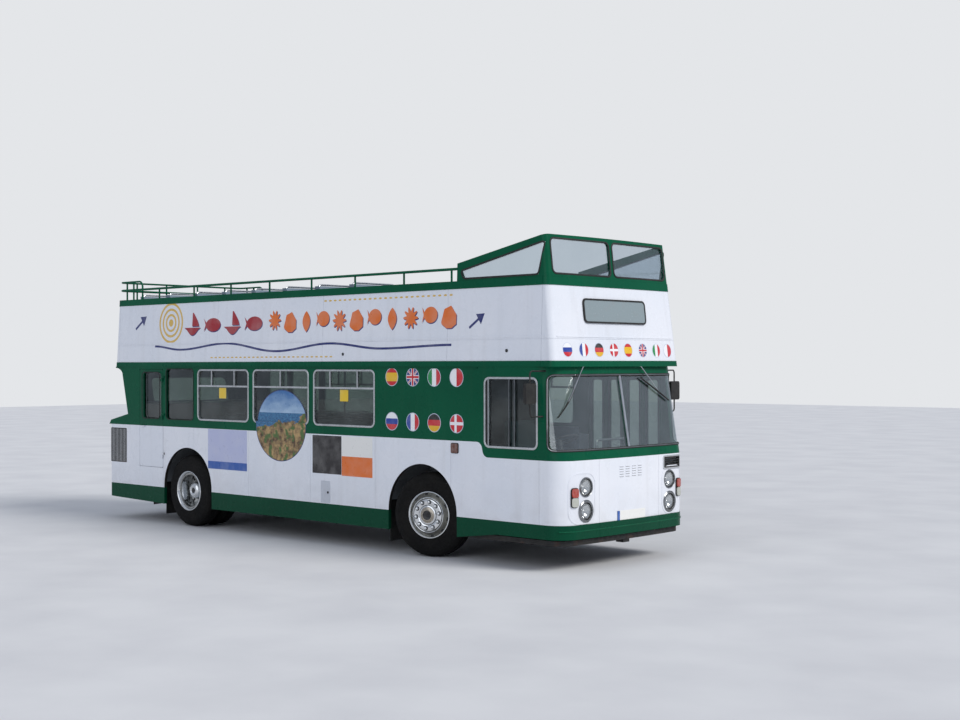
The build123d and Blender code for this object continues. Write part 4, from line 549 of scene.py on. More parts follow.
def sweep(path, section, normal=None, closed=False):
    """A section carried along a path: point = path + across x side + over x up, where side is square to the
    path and to up. Up is the given normal, or it is carried along the path turning as little as possible."""
    path = np.asarray(path, float)
    section = np.asarray(section, float)
    if closed:
        tangent = np.roll(path, -1, 0) - np.roll(path, 1, 0)
    else:
        tangent = np.gradient(path, axis=0)
    tangent /= np.linalg.norm(tangent, axis=1)[:, None]
    if normal is None:
        ups = [frame_of(tangent[0])[1]]
        for direction in tangent[1:]:
            up = ups[-1] - direction * (ups[-1] @ direction)
            ups.append(up / np.linalg.norm(up))
        up = np.array(ups)
    else:
        up = np.broadcast_to(np.asarray(normal, float), path.shape)
        up = up - tangent * np.sum(up * tangent, axis=1)[:, None]
        up = up / np.linalg.norm(up, axis=1)[:, None]
    side = np.cross(tangent, up)
    points = path[:, None] + section[None, :, :1] * side[:, None] + section[None, :, 1:] * up[:, None]
    count = len(section)
    rows = len(path)
    if closed:
        points = np.concatenate([points, points[:1]])
        return points.reshape(-1, 3), grid_quads(rows + 1, count, True)
    faces = grid_quads(rows, count, True)
    faces.append(list(range(count))[::-1])
    faces.append([(rows - 1) * count + i for i in range(count)])
    return points.reshape(-1, 3), faces


def disc_section(radius, sides=10):
    """A regular section with that many sides."""
    angle = np.linspace(0, TAU, sides, endpoint=False)
    return np.stack([radius * np.cos(angle), radius * np.sin(angle)], axis=1)


def bent_tube(points, bend, radius, sides=12, steps=6):
    """A round tube with smooth corners."""
    return sweep(smooth_path(points, bend, steps), disc_section(radius, sides))


def rounded_outline(u0, u1, v0, v1, radius, steps=8):
    """A rounded rectangle as one loop: four quarter turns about the corner centres."""
    angle = np.linspace(0, math.pi / 2, steps)
    right, left, upper, lower = u1 - radius, u0 + radius, v1 - radius, v0 + radius
    loop = []
    for k, (u, v) in enumerate(((right, upper), (left, upper), (left, lower), (right, lower))):
        turn = angle + k * math.pi / 2
        loop.append(np.stack([u + radius * np.cos(turn), v + radius * np.sin(turn)], axis=1))
    return np.concatenate(loop)


def rounded_polygon(corners, radius, steps=6):
    """A polygon whose corners are quadratic curves, as one loop."""
    corners = np.asarray(corners, float)
    t = np.linspace(0, 1, steps)[:, None]
    loop = []
    for before, corner, after in zip(np.roll(corners, 1, 0), corners, np.roll(corners, -1, 0)):
        start = corner + (before - corner) / np.linalg.norm(before - corner) * radius
        end = corner + (after - corner) / np.linalg.norm(after - corner) * radius
        loop.append((1 - t) ** 2 * start + 2 * t * (1 - t) * corner + t ** 2 * end)
    return np.concatenate(loop)


def circle(u, v, radius_u, radius_v=None, steps=40):
    """An ellipse as one loop."""
    angle = np.linspace(0, TAU, steps, endpoint=False)
    return np.stack([u + radius_u * np.cos(angle), v + (radius_v or radius_u) * np.sin(angle)], axis=1)


def slab(outline, low, high, lay):
    """A flat outline between two depths, laid on a surface: lay(u, v, depth) gives the points."""
    u, v = np.asarray(outline, float).T
    count = len(u)
    points = np.concatenate([lay(u, v, np.full(count, low)), lay(u, v, np.full(count, high))])
    faces = [[i, (i + 1) % count, count + (i + 1) % count, count + i] for i in range(count)]
    faces.append(list(range(count))[::-1])
    faces.append(list(range(count, 2 * count)))
    return points, faces


def dense(loop, step=0.04):
    """A loop with points added evenly, so that none of its runs is longer than a step."""
    fine = []
    for start, end in zip(loop, np.roll(loop, -1, 0)):
        count = max(1, int(np.ceil(np.linalg.norm(end - start) / step)))
        fine.append(start + (end - start) * (np.arange(count) / count)[:, None])
    return np.concatenate(fine)


def sheet(u0, u1, v0, v1, radius, low, high, lay, step=0.03):
    """A rounded rectangle between two depths that follows a surface bowed across u. It is cut into upright
    strips, and a strip within the radius r of an end is shorter at top and bottom by r - root(r squared -
    d squared), d being how far it is into the radius."""
    bend = radius * (1 - np.cos(np.linspace(0, math.pi / 2, 7)))
    count = max(3, int((u1 - u0 - 2 * radius) / step))
    u = np.concatenate([u0 + bend, np.linspace(u0 + radius, u1 - radius, count)[1:-1], (u1 - bend)[::-1]])
    past = np.clip(np.maximum(u0 + radius - u, u - u1 + radius), 0, radius)
    cut = radius - np.sqrt(np.maximum(radius ** 2 - past ** 2, 0))
    lines = ((v0 + cut, low), (v1 - cut, low), (v1 - cut, high), (v0 + cut, high))
    points = np.stack([lay(u, v, np.full(len(u), depth)) for v, depth in lines], axis=1)
    last = 4 * len(u)
    faces = grid_quads(len(u), 4, True) + [[3, 2, 1, 0], [last - 4, last - 3, last - 2, last - 1]]
    return points.reshape(-1, 3), faces


def on_side(sign, proud=0.0):
    """Surface of the lower body's side: u is along the bus, v is up, depth is outwards."""
    def lay(u, v, depth):
        return np.stack([u, sign * (SIDE_Y + proud + depth), v], axis=-1)
    return lay


def on_deck_side(sign):
    """Surface of the upper deck's side, which leans in with height. A quarter circle turns it in at the
    nose."""
    def lay(u, v, depth):
        start = DECK_NOSE_X - DECK_NOSE_LEAN * (v - BAND_TOP) - DECK_CROWN - DECK_CORNER
        past = np.clip(u - start, 0, DECK_CORNER)
        turned = DECK_CORNER - np.sqrt(DECK_CORNER ** 2 - past ** 2)
        return np.stack([u, sign * (SIDE_Y - DECK_SIDE_LEAN * (v - BAND_TOP) - turned + depth), v], axis=-1)
    return lay


def crowned(y, half, crown, corner):
    """How far a bowed nose stands behind its middle: a parabola up to the corner, then a quarter turn."""
    flat = half - corner
    reach = np.minimum(np.abs(y), flat)
    past = np.clip(np.abs(y) - flat, 0, corner)
    return crown * (reach / flat) ** 2 + corner - np.sqrt(np.maximum(corner ** 2 - past ** 2, 0))


def on_deck_front(u, v, depth):
    """Surface of the upper deck's front: u is across the bus, v is up."""
    half = SIDE_Y - DECK_SIDE_LEAN * (v - BAND_TOP)
    x = DECK_NOSE_X - DECK_NOSE_LEAN * (v - BAND_TOP) - crowned(u, half, DECK_CROWN, DECK_CORNER)
    return np.stack([x + depth, u, v], axis=-1)


def on_front(u, v, depth):
    """Surface of the lower body's front, leaning back above the belt. u is the distance along it from the
    middle. Up to the corner the nose is a parabola, then the angle is the distance past it over the
    corner's radius."""
    flat = SIDE_Y - NOSE_CORNER
    lean = SCREEN_LEAN * np.clip((v - BELT_FRONT) / (BAND_TOP - BELT_FRONT), 0, None)
    turn = np.clip(np.abs(u) - flat, 0, None) / NOSE_CORNER
    reach = np.minimum(np.abs(u), flat)
    drop = NOSE_CROWN * (reach / flat) ** 2 + NOSE_CORNER * (1 - np.cos(turn))
    across = np.sign(u) * (reach + (NOSE_CORNER + depth) * np.sin(turn))
    return np.stack([NOSE_X - lean - drop + depth * np.cos(turn), across, v], axis=-1)


def on_back(u, v, depth):
    """Surface of the flat tail."""
    return np.stack([TAIL_X - depth, u, v], axis=-1)


def on_rear_wall(u, v, depth):
    """Surface of the sloping wall over the engine."""
    (x0, z0), (x1, z1) = REAR_WALL
    return np.stack([x0 + (x1 - x0) * (v - z0) / (z1 - z0) - depth, u, v], axis=-1)


def lengthwise(u, v, depth):
    """Upright plane along the bus, for a shape seen from the side: depth is across the bus."""
    return np.stack([u, depth, v], axis=-1)


def both_sides(inner, outer):
    """The ends of a run that starts and ends that far from the middle, on the right and on the left."""
    return [tuple(sorted((side * inner, side * outer))) for side in (-1, 1)]


# Section of a rubber seal: across, and out from the body
SEAL = np.array([(-0.011, 0.0), (0.011, 0.0), (0.011, 0.004), (0.006, 0.0075), (-0.006, 0.0075),
                 (-0.011, 0.004)])
SMALL_SEAL = SEAL * (0.6, 0.8)
SCREEN_SEAL = SEAL * (1.35, 1.3)


def seal(loop, lay, outwards, section=SEAL):
    """A strip round an opening: the seal's section carried along the opening's edge on the body's surface."""
    u, v = np.asarray(loop, float).T
    path = lay(u, v, np.zeros(len(u)))
    keep = np.linalg.norm(path - np.roll(path, 1, 0), axis=1) > 1e-6
    return sweep(path[keep], section, outwards, closed=True)


def copies(shape, matrices):
    """The same shape put at each place: point = turn x point + shift."""
    points, faces = shape
    return [(points @ turn.T + shift, faces) for turn, shift in matrices]


def around(axis_place, axis, count, radius, along, start=0.0):
    """Turns and shifts for things set evenly on a circle about an axis, their own Z along the axis."""
    axis, first, second = frame_of(axis)
    places = []
    for angle in start + np.arange(count) * TAU / count:
        out = math.cos(angle) * first + math.sin(angle) * second
        turn = np.stack([out, np.cross(axis, out), axis], axis=1)
        places.append((turn, np.asarray(axis_place) + radius * out + along * axis))
    return places


def wheel_axes():
    """For each turning wheel set: its body, its hub's place, its outward axis, and whether it steers."""
    rows = []
    for name, joint in JOINTS.items():
        if not name.endswith("_spin"):
            continue
        centre = np.array(joint["pos_m"])
        axis = np.array(joint["axis"])
        if centre[1] * axis[1] < 0:
            axis = -axis
        rows.append((joint["child"], centre, axis, name.startswith("front")))
    return rows


# Tyres: the tread's zigzags and shoulder cuts are counted round the tyre, and wall rings are (radius, width,
# height). The inner ends of the beads are (along the axis, radius).
TYRE_HALF = 0.1375
BEAD_RADIUS = 0.262
BEADS_TURNED_IN = ((0.112, 0.284), (0.085, 0.256), (-0.085, 0.256), (-0.112, 0.284))
WALL_RINGS = ((0.315, 0.006, 1.0), (0.455, 0.010, 0.7))
TREAD_GROOVES = (-0.078, -0.027, 0.027, 0.078)
GROOVE_DEPTH = 0.010
GROOVE_HALF = 0.0045
ZIGZAG = 0.005
ZIGZAGS = 36
SHOULDER = (0.096, 0.128)
SHOULDER_CUTS = 60
TWIN_PITCH = 0.312

# Profiles of the wheels' trim: (distance from the axis, distance along it from the hub's middle)
RIM_LIP = [(0.252, 0.090), (0.262, 0.116), (0.269, 0.131), (0.279, 0.1385), (0.2895, 0.1375), (0.2925, 0.131),
           (0.2885, 0.122), (0.268, 0.106), (0.256, 0.086)]
CONE = [(0.268, 0.110), (0.266, 0.119), (0.250, 0.131), (0.232, 0.144), (0.218, 0.154), (0.190, 0.1545),
        (0.190, 0.150), (0.216, 0.149), (0.264, 0.106)]
CONE_RING = [(0.2195, 0.150), (0.219, 0.160), (0.213, 0.1640), (0.2075, 0.161), (0.207, 0.150)]
NUT_DISC = [(0.1985, 0.120), (0.1985, 0.160), (0.1955, 0.166), (0.190, 0.168), (0.134, 0.168), (0.125, 0.164),
            (0.1235, 0.156), (0.1235, 0.120)]
HUB_FLANGE = [(0.1215, 0.120), (0.1205, 0.166), (0.1165, 0.173), (0.108, 0.1765), (0.099, 0.177),
              (0.096, 0.174), (0.096, 0.120)]
FRONT_CAP = [(0.097, 0.150), (0.097, 0.1745), (0.088, 0.176), (0.074, 0.1815), (0.067, 0.1865),
             (0.060, 0.1865)]
FRONT_MIDDLE = [(0.061, 0.178), (0.0605, 0.185), (0.056, 0.1835), (0.050, 0.180), (0.0, 0.180)]
BARREL = [(0.2315, -0.070), (0.2315, 0.060), (0.240, 0.094), (0.237, 0.094), (0.228, 0.060), (0.228, -0.070)]
REAR_CAP = [(0.142, -0.078), (0.140, -0.040), (0.128, -0.012), (0.1175, 0.020), (0.113, 0.036),
            (0.100, 0.049), (0.086, 0.056), (0.074, 0.062), (0.066, 0.0635), (0.058, 0.062), (0.052, 0.057),
            (0.040, 0.055)]
REAR_MIDDLE = [(0.0405, 0.052), (0.034, 0.0570), (0, 0.0585)]
NUT = [(0.0165, 0.0), (0.0165, 0.018), (0.0130, 0.024), (0.0105, 0.024), (0.0105, 0.036), (0.006, 0.040),
       (0, 0.040)]
NUT_CAP = [(0.0215, 0.0), (0.0215, 0.014), (0.0185, 0.021), (0.012, 0.0265), (0, 0.028)]
# Black ring under each nut cap: painted shade round the nuts
NUT_SHADE_RING = [(0.0285, 0.0), (0.0285, 0.0035), (0.020, 0.0045)]

# Wheel nuts and the cone's slots: how many of each, the nuts' circle and the first one's angle, the slots'
# circle and their distance along the axis, and a slot's half angle
NUT_COUNT = 10
NUT_PITCH = 0.1640
NUT_START = 0.16
SLOT_PITCH = 0.258
SLOT_ALONG = 0.125
SLOT_HALF = 0.084


def tyre(centre, axis, steps=180, rows=72):
    """A tyre's skin. Round the section the angle t goes from bead to bead: the distance along the axis is
    -half width x cos t to the power 0.42 and the radius rises from the bead as sin t to the power 0.50, both
    with the sign kept. Both beads turn in behind the rims. Zigzag grooves, cuts in the shoulders and two
    raised rings on each wall are small added terms."""
    t = np.linspace(0.02, math.pi - 0.02, rows)
    a = np.linspace(0, TAU, steps, endpoint=False)
    flat = np.cos(t)
    along = -np.sign(flat) * np.abs(flat) ** 0.42 * TYRE_HALF
    radius = BEAD_RADIUS + (TYRE_RADIUS - BEAD_RADIUS) * np.sin(t) ** 0.50
    wall = sum(height * np.exp(-((radius - place) / width) ** 2) for place, width, height in WALL_RINGS)
    along = along * (1 - 0.03 * (1 - wall))
    zigzag = ZIGZAG * np.abs(((a * ZIGZAGS / TAU) % 1) * 2 - 1) * 2 - ZIGZAG
    y = along[:, None] + np.zeros_like(a)[None]
    depth = np.zeros_like(y)
    for groove in TREAD_GROOVES:
        depth = np.maximum(depth, np.clip(1.6 - np.abs(y - groove - zigzag[None]) / GROOVE_HALF, 0, 1))
    shoulder = (np.abs(y) > SHOULDER[0]) & (np.abs(y) < SHOULDER[1])
    cut = ((a * SHOULDER_CUTS / TAU) % 1) < 0.22
    depth = np.maximum(depth, 0.8 * (shoulder & cut[None]))
    on_tread = np.clip((radius - TYRE_RADIUS + 0.055) / 0.03, 0, 1)[:, None]
    r = radius[:, None] - GROOVE_DEPTH * depth * on_tread
    axis, first, second = frame_of(axis)
    out = np.cos(a)[:, None] * first + np.sin(a)[:, None] * second
    points = centre + y[..., None] * axis + r[..., None] * out[None]
    inner = np.array([centre + place * axis + size * out for place, size in BEADS_TURNED_IN])
    points = np.concatenate([points, inner, points[:1]])
    return points.reshape(-1, 3), grid_quads(rows + 5, steps, True)


def ten_round(profile, hub, axis, along, sides):
    """Ten small lathes on the pitch circle of the wheel nuts."""
    places = around(hub, axis, NUT_COUNT, NUT_PITCH, along, NUT_START)
    return copies(lathe(profile, np.zeros(3), (0, 0, 1), sides), places)


def tyres_and_wheels():
    """Tyres over the plain ones, and the trim, nuts, slots and caps of each wheel."""
    for body, hub, axis, steers in wheel_axes():
        end = body.replace("front_wheel", "tyre_front").replace("rear_wheels", "tyres_rear")
        rows = [0.0] if steers else [0.0, -TWIN_PITCH]
        skins = [tyre(hub + along * axis, axis) for along in rows]
        skin = piece(end + "_tread", skins, "tyre", body)
        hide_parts(end)
        tag = body.replace("wheels", "wheel")
        piece(tag + "_lip", closed_lathe(RIM_LIP, hub, axis, 72), "chrome", body)
        if steers:
            dress_front_wheel(tag, body, hub, axis)
        else:
            dress_rear_wheel(tag, body, hub, axis)


def dress_front_wheel(tag, body, hub, axis):
    """Front wheel: a cone that rises inwards from the rim with ten slots shown as black strips of painted
    shade, a bright ring, a disc that stands out with ten capped nuts on black rings of painted shade round
    them, and a low domed hub cap with a dark middle."""
    piece(tag + "_cone", closed_lathe(CONE, hub, axis, 72), "cone_metal", body)
    rings = [closed_lathe(CONE_RING, hub, axis, 64), closed_lathe(NUT_DISC, hub, axis, 64)]
    piece(tag + "_nut_ring", rings, "chrome", body)
    piece(tag + "_nut_shade_rings", ten_round(NUT_SHADE_RING, hub, axis, 0.1675, 20), "black_steel", body)
    piece(tag + "_nuts", ten_round(NUT_CAP, hub, axis, 0.170, 18), "chrome", body)
    # Black strips on the cone where its slots are: painted shade of the openings
    slots = []
    _, first, second = frame_of(axis)
    section = [(side * 0.0088 + lift * 0.6, -side * 0.0066 + lift * 0.8)
               for side, lift in ((-1, -0.003), (1, -0.003), (1, 0.0014), (-1, 0.0014))]
    for k in range(NUT_COUNT):
        a = np.linspace(-SLOT_HALF, SLOT_HALF, 7) + (k + 0.5) * TAU / NUT_COUNT + NUT_START
        out = np.cos(a)[:, None] * first + np.sin(a)[:, None] * second
        slots.append(sweep(hub + SLOT_ALONG * axis + SLOT_PITCH * out, section, axis))
    piece(tag + "_slot_shade_strips", slots, "display", body)
    piece(tag + "_hub_flange", closed_lathe(HUB_FLANGE, hub, axis, 48), "chrome", body)
    piece(tag + "_hub_cap", lathe(FRONT_CAP, hub, axis, 48), "brass", body)
    piece(tag + "_hub_centre", lathe(FRONT_MIDDLE, hub, axis, 36), "display", body)


def dress_rear_wheel(tag, body, hub, axis):
    """Rear wheel: a deep bright barrel, nuts far inside it, and a hub that tapers outwards to a rim round a
    dark middle."""
    piece(tag + "_barrel", closed_lathe(BARREL, hub, axis, 72), "chrome", body)
    piece(tag + "_nuts", ten_round(NUT, hub, axis, -0.079, 6), "wheel_metal", body)
    piece(tag + "_hub_cap", lathe(REAR_CAP, hub, axis, 48), "chrome", body)
    piece(tag + "_hub_centre", lathe(REAR_MIDDLE, hub, axis, 32), "display", body)


# Headlamps: their distance from the middle, each one's height and ring, and the profiles that all four share
HEADLAMP_Y = 0.812
HEADLAMP_RINGS = (
    (0.965, [(0.094, -0.006), (0.099, 0.010), (0.107, 0.014), (0.116, 0.004), (0.117, -0.004),
             (0.106, -0.004)]),
    (0.690, [(0.096, -0.006), (0.101, 0.013), (0.119, 0.013), (0.131, 0.004), (0.132, -0.004),
             (0.106, -0.004)]),
)
HEADLAMP_COLLAR = [(0.084, -0.018), (0.105, -0.014), (0.100, 0.002), (0.091, 0.001), (0.086, -0.010)]
HEADLAMP_BOWL = [(0.092, -0.014), (0.078, -0.034), (0.056, -0.052), (0.030, -0.062), (0.016, -0.064),
                 (0.015, -0.040), (0.010, -0.036), (0, -0.035)]
HEADLAMP_LENS = [(0.092, -0.012), (0.091, -0.004), (0.076, 0.004), (0.048, 0.010), (0, 0.0125)]
HEADLAMP_PANEL = (0.655, 1.086, 0.552, 1.128)

# Other lamps: boxes of the corner lamps across and up, the levels where their clear lens ends and the amber
# one starts, boxes of the side lamps along and up, and the rear lamps
CORNER_LAMP = (0.954, 1.060, 0.742, 0.968)
CORNER_SPLIT = (0.853, 0.858)
SIDE_LAMP = (2.855, 2.984, 1.302, 1.428)
REAR_LAMP_Y = 1.060
REAR_LAMPS = (("red", 0.640), ("clear", 0.770), ("amber", 0.900))
REAR_DOME = [(0.046, -0.010), (0.046, 0.004), (0.036, 0.010), (0.018, 0.0125), (0, 0.013)]
REAR_RIM = [(0.045, -0.004), (0.054, -0.002), (0.054, 0.004), (0.047, 0.007)]


def lens_material(name, code, clear=False):
    """Lamp lens: tinted plastic with close upright fluting; a clear one lets most of the light through."""
    f = Finish(name, srgb(code), 0.16, Coat_Weight=0.4, Coat_Roughness=0.05)
    f.colour(f.mix(f.ramp(f.noise(30.0, 3), 0.3, 0.7, 0.0, 0.10), srgb(code), srgb("FFFFFF")))
    f.bump(f.wave(34.0, "Y"), 0.003, 0.7)
    f.bump(f.wave(22.0, "Z"), 0.002, 0.35)
    if clear:
        through = f.tree.nodes.new("ShaderNodeBsdfTransparent")
        blend = f.tree.nodes.new("ShaderNodeMixShader")
        blend.inputs["Fac"].default_value = 0.34
        f.link(through.outputs[0], blend.inputs[1])
        f.link(f.shader.outputs[0], blend.inputs[2])
        f.link(blend.outputs[0], f.output.inputs["Surface"])
    return f.material


LENS_COLOURS = {"clear": "B9BBB0", "amber": "A82A08", "red": "A8121A", "side_amber": "5E2A0C"}
for lens, lens_code in LENS_COLOURS.items():
    MAT[lens + "_lens"] = lens_material("lens_" + lens, lens_code)
MAT["head_lens"] = lens_material("lens_head", "C4CACE", True)


def headlamps():
    """Each headlamp's bright ring, black collar, bowl and lens, and the bead of the panel round each pair."""
    rings, collars, bowls, lenses = [], [], [], []
    for y in (-HEADLAMP_Y, HEADLAMP_Y):
        x = NOSE_X - crowned(y, SIDE_Y, NOSE_CROWN, NOSE_CORNER) + 0.002
        for z, ring in HEADLAMP_RINGS:
            centre = np.array([x, y, z])
            rings.append(closed_lathe(ring, centre, (1, 0, 0), 56))
            collars.append(closed_lathe(HEADLAMP_COLLAR, centre, (1, 0, 0), 56))
            bowls.append(lathe(HEADLAMP_BOWL, centre, (1, 0, 0), 48))
            lenses.append(lathe(HEADLAMP_LENS, centre, (1, 0, 0), 48))
    inner, outer, low, high = HEADLAMP_PANEL
    beads = []
    for u0, u1 in both_sides(inner, outer):
        outline = dense(rounded_outline(u0, u1, low, high, 0.135, 12), 0.03)
        beads.append(ribbon(outline, 0.007, -0.002, 0.0045, on_front, True))
    head = piece("headlamp_rings", rings, "lamp_ring")
    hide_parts("lamps")
    piece("headlamp_collars", collars, "rubber")
    piece("headlamp_bowls", bowls, "chrome")
    piece("headlamp_lenses", lenses, "head_lens")
    piece("headlamp_beads", beads, "white")


def corner_lamps():
    """Lamps on the nose's corners: an amber lens over a clear one, on a rubber bezel."""
    inner, outer, low, high = CORNER_LAMP
    clear_top, amber_foot = CORNER_SPLIT
    bezels, amber, clear = [], [], []
    for u0, u1 in both_sides(inner, outer):
        bezels.append(sheet(u0, u1, low, high, 0.032, -0.002, 0.013, on_front, 0.008))
        u0, u1 = u0 + 0.008, u1 - 0.008
        amber.append(sheet(u0, u1, amber_foot, high - 0.008, 0.024, 0.010, 0.027, on_front, 0.008))
        clear.append(sheet(u0, u1, low + 0.008, clear_top, 0.024, 0.010, 0.025, on_front, 0.008))
    piece("corner_lamp_bezels", bezels, "rubber")
    piece("corner_lamp_amber", amber, "amber_lens")
    piece("corner_lamp_clear", clear, "clear_lens")


def side_lamps():
    """A small amber lamp on each side behind the cab."""
    x0, x1, z0, z1 = SIDE_LAMP
    surround, lenses = [], []
    for sign in (-1, 1):
        surround.append(slab(rounded_outline(x0, x1, z0, z1, 0.022), -0.001, 0.008, on_side(sign)))
        inside = rounded_outline(x0 + 0.007, x1 - 0.007, z0 + 0.007, z1 - 0.007, 0.018)
        lenses.append(slab(inside, 0.007, 0.015, on_side(sign)))
    piece("side_lamp_surrounds", surround, "rubber")
    piece("side_lamp_lenses", lenses, "side_amber_lens")


def rear_lamps():
    """Three round lamps over one another on each side of the tail, with bright rims."""
    for tag, z in REAR_LAMPS:
        centres = [np.array([TAIL_X, y, z]) for y in (-REAR_LAMP_Y, REAR_LAMP_Y)]
        domes = [lathe(REAR_DOME, centre, (-1, 0, 0), 32) for centre in centres]
        rims = [closed_lathe(REAR_RIM, centre, (-1, 0, 0), 32) for centre in centres]
        piece("rear_lamp_" + tag, domes, tag + "_lens")
        piece("rear_lamp_rim_" + tag, rims, "chrome")


def ribbon(path, half, low, high, lay, closed=False):
    """A band of even width along a line drawn on a surface: point = line +- half x the line's normal."""
    path = np.asarray(path, float)
    if closed:
        ahead = np.roll(path, -1, 0) - np.roll(path, 1, 0)
    else:
        ahead = np.gradient(path, axis=0)
    ahead /= np.linalg.norm(ahead, axis=1)[:, None]
    off = np.stack([-ahead[:, 1], ahead[:, 0]], axis=1) * half
    if closed:
        path, off = np.vstack([path, path[:1]]), np.vstack([off, off[:1]])
    left, right = path + off, path - off
    rows = len(path)
    corners = [(left, low), (left, high), (right, high), (right, low)]
    points = np.stack([lay(line[:, 0], line[:, 1], np.full(rows, depth)) for line, depth in corners], axis=1)
    faces = grid_quads(rows, 4, True)
    if not closed:
        faces += [[3, 2, 1, 0], [4 * rows - 4, 4 * rows - 3, 4 * rows - 2, 4 * rows - 1]]
    return points.reshape(-1, 3), faces


def eased(points, steps=16):
    """A line through high and low points that leaves each of them level: half a cosine between each two."""
    t = np.linspace(0, 1, steps, endpoint=False)
    line = []
    for (x0, z0), (x1, z1) in zip(points[:-1], points[1:]):
        line.append(np.stack([x0 + (x1 - x0) * t, z0 + (z1 - z0) * (1 - np.cos(math.pi * t)) / 2], axis=1))
    line.append(np.array(points[-1:]))
    return np.concatenate(line)


def side_panes():
    """Boxes of the panes of the lower saloon's sides, each with its side's sign."""
    rows = [box for box in islands("glazing") if box[1][2] < BAND_TOP and box[1][1] - box[0][1] < 0.05]
    return [(box, 1 if box[0][1] > 0 else -1) for box in rows]


def framed_panes():
    """Boxes of the bright frames, each with its side's sign."""
    return [(box, 1 if box[0][1] > 0 else -1) for box in islands("window_frames")]


# Openings with a seal: the rear window and half the upper screen as (across, across, up, up), and the corners
# of the upper side pane as (x, z) and of the windscreen as (distance along the front, z). Then the bar
# between the windscreen's halves, and the section of the bead in its rubber.
REAR_WINDOW = (-0.735, 0.735, 1.750, 2.180)
UPPER_FRONT_PANE = (0.030, 1.085, 3.425, 3.835)
UPPER_SIDE_PANE = ((2.985, 3.506), (3.030, 3.411), (4.223, 3.413), (4.300, 3.795))
WINDSCREEN = ((-1.3137, 1.39), (1.3137, 1.39), (1.2044, 2.25), (-1.2044, 2.25))
WINDSCREEN_BAR = (-0.017, 0.017, 1.385, 2.255)
BRIGHT_BEAD = np.array([(-0.0022, 0.008), (0.0022, 0.008), (0.0016, 0.0115), (-0.0016, 0.0115)])


def window_seals():
    """Rubber round each side pane that has no frame, round the rear window and round the upper panes."""
    rubber = []
    frames = [(box[0][0], sign) for box, sign in framed_panes()]
    for (low, high), sign in side_panes():
        if any(abs(x - low[0]) < 0.02 and side == sign for x, side in frames):
            continue
        loop = rounded_outline(low[0], high[0], low[2], high[2], 0.055)
        rubber.append(seal(loop, on_side(sign), (0, sign, 0), SMALL_SEAL))
    rubber.append(seal(rounded_outline(*REAR_WINDOW, 0.090), on_rear_wall, (-1, 0, 0)))
    inner, outer, low, high = UPPER_FRONT_PANE
    for side, (y0, y1) in zip((-1, 1), both_sides(inner, outer)):
        rubber.append(seal(rounded_outline(y0, y1, low, high, 0.060), on_deck_front, (1, 0, DECK_NOSE_LEAN)))
        loop = rounded_polygon(UPPER_SIDE_PANE[::side], 0.045)
        rubber.append(seal(loop, on_deck_side(side), (0, side, 0.04)))
    piece("window_seals", rubber, "rubber")


def windscreen_seals():
    """Rubber round the windscreen with a thin bright bead in it, and the bright bar between its halves."""
    loop = dense(rounded_polygon(WINDSCREEN, 0.085, 10))
    turn = np.clip((np.abs(loop[:, 0]) - SIDE_Y + NOSE_CORNER) / NOSE_CORNER, 0, None)
    outwards = np.stack([np.cos(turn), np.sign(loop[:, 0]) * np.sin(turn), 0.15 * np.ones(len(turn))], axis=1)
    keep = np.linalg.norm(loop - np.roll(loop, 1, 0), axis=1) > 1e-4
    loop, outwards = loop[keep], outwards[keep]
    piece("windscreen_seal", seal(loop, on_front, outwards, SCREEN_SEAL), "rubber")
    middle = slab(rounded_outline(*WINDSCREEN_BAR, 0.006), -0.004, 0.008, on_front)
    shapes = [seal(loop, on_front, outwards, BRIGHT_BEAD), middle]
    piece("windscreen_bead", shapes, "chrome")


def emergency_door_seal():
    """Rubber round the emergency door's pane, riding on the door."""
    low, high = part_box("emergency_glass")
    place = on_side(-1, -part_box("emergency_door")[0].y - SIDE_Y)
    ring = seal(rounded_outline(low.x, high.x, low.z, high.z, 0.060), place, (0, -1, 0), SMALL_SEAL)
    piece("emergency_window_seal", ring, "rubber", "emergency_door")


# Bright frames: their section, half its width, how far they stand in, where the transom is, and where the
# upright bars of the vents stand as shares of each window's length from the rearmost on. A frame that starts
# ahead of CAB_WINDOW_X is the cab's, and its sliding pane has two bars.
FRAME_SECTION = np.array([(-0.013, -0.0235), (0.013, -0.0235), (0.013, 0.003), (0.0095, 0.006),
                          (-0.0095, 0.006), (-0.013, 0.003)])
FRAME_HALF = 0.013
FRAME_INNER = -0.0235
TRANSOM_Z = 2.070
VENT_SHARES = ((0.283, 0.723), (0.50,), (0.28, 0.722), (0.33, 0.67))
CAB_WINDOW_X = 3.0
CAB_BARS = (3.800, 3.885)


def inset_outline(box, inset, radius):
    """The rounded outline of a box of the body's side, drawn in by an inset."""
    low, high = box
    return rounded_outline(low[0] + inset, high[0] - inset, low[2] + inset, high[2] - inset, radius)


def collar(outer, inner, low, high, lay):
    """A ring between two loops of as many points, between two depths of a surface."""
    rows = [(outer, low), (outer, high), (inner, high), (inner, low)]
    points = [lay(loop[:, 0], loop[:, 1], np.full(len(loop), depth)) for loop, depth in rows]
    points = np.stack(points, axis=1)
    points = np.concatenate([points, points[:1]])
    return points.reshape(-1, 3), grid_quads(len(points), 4, True)


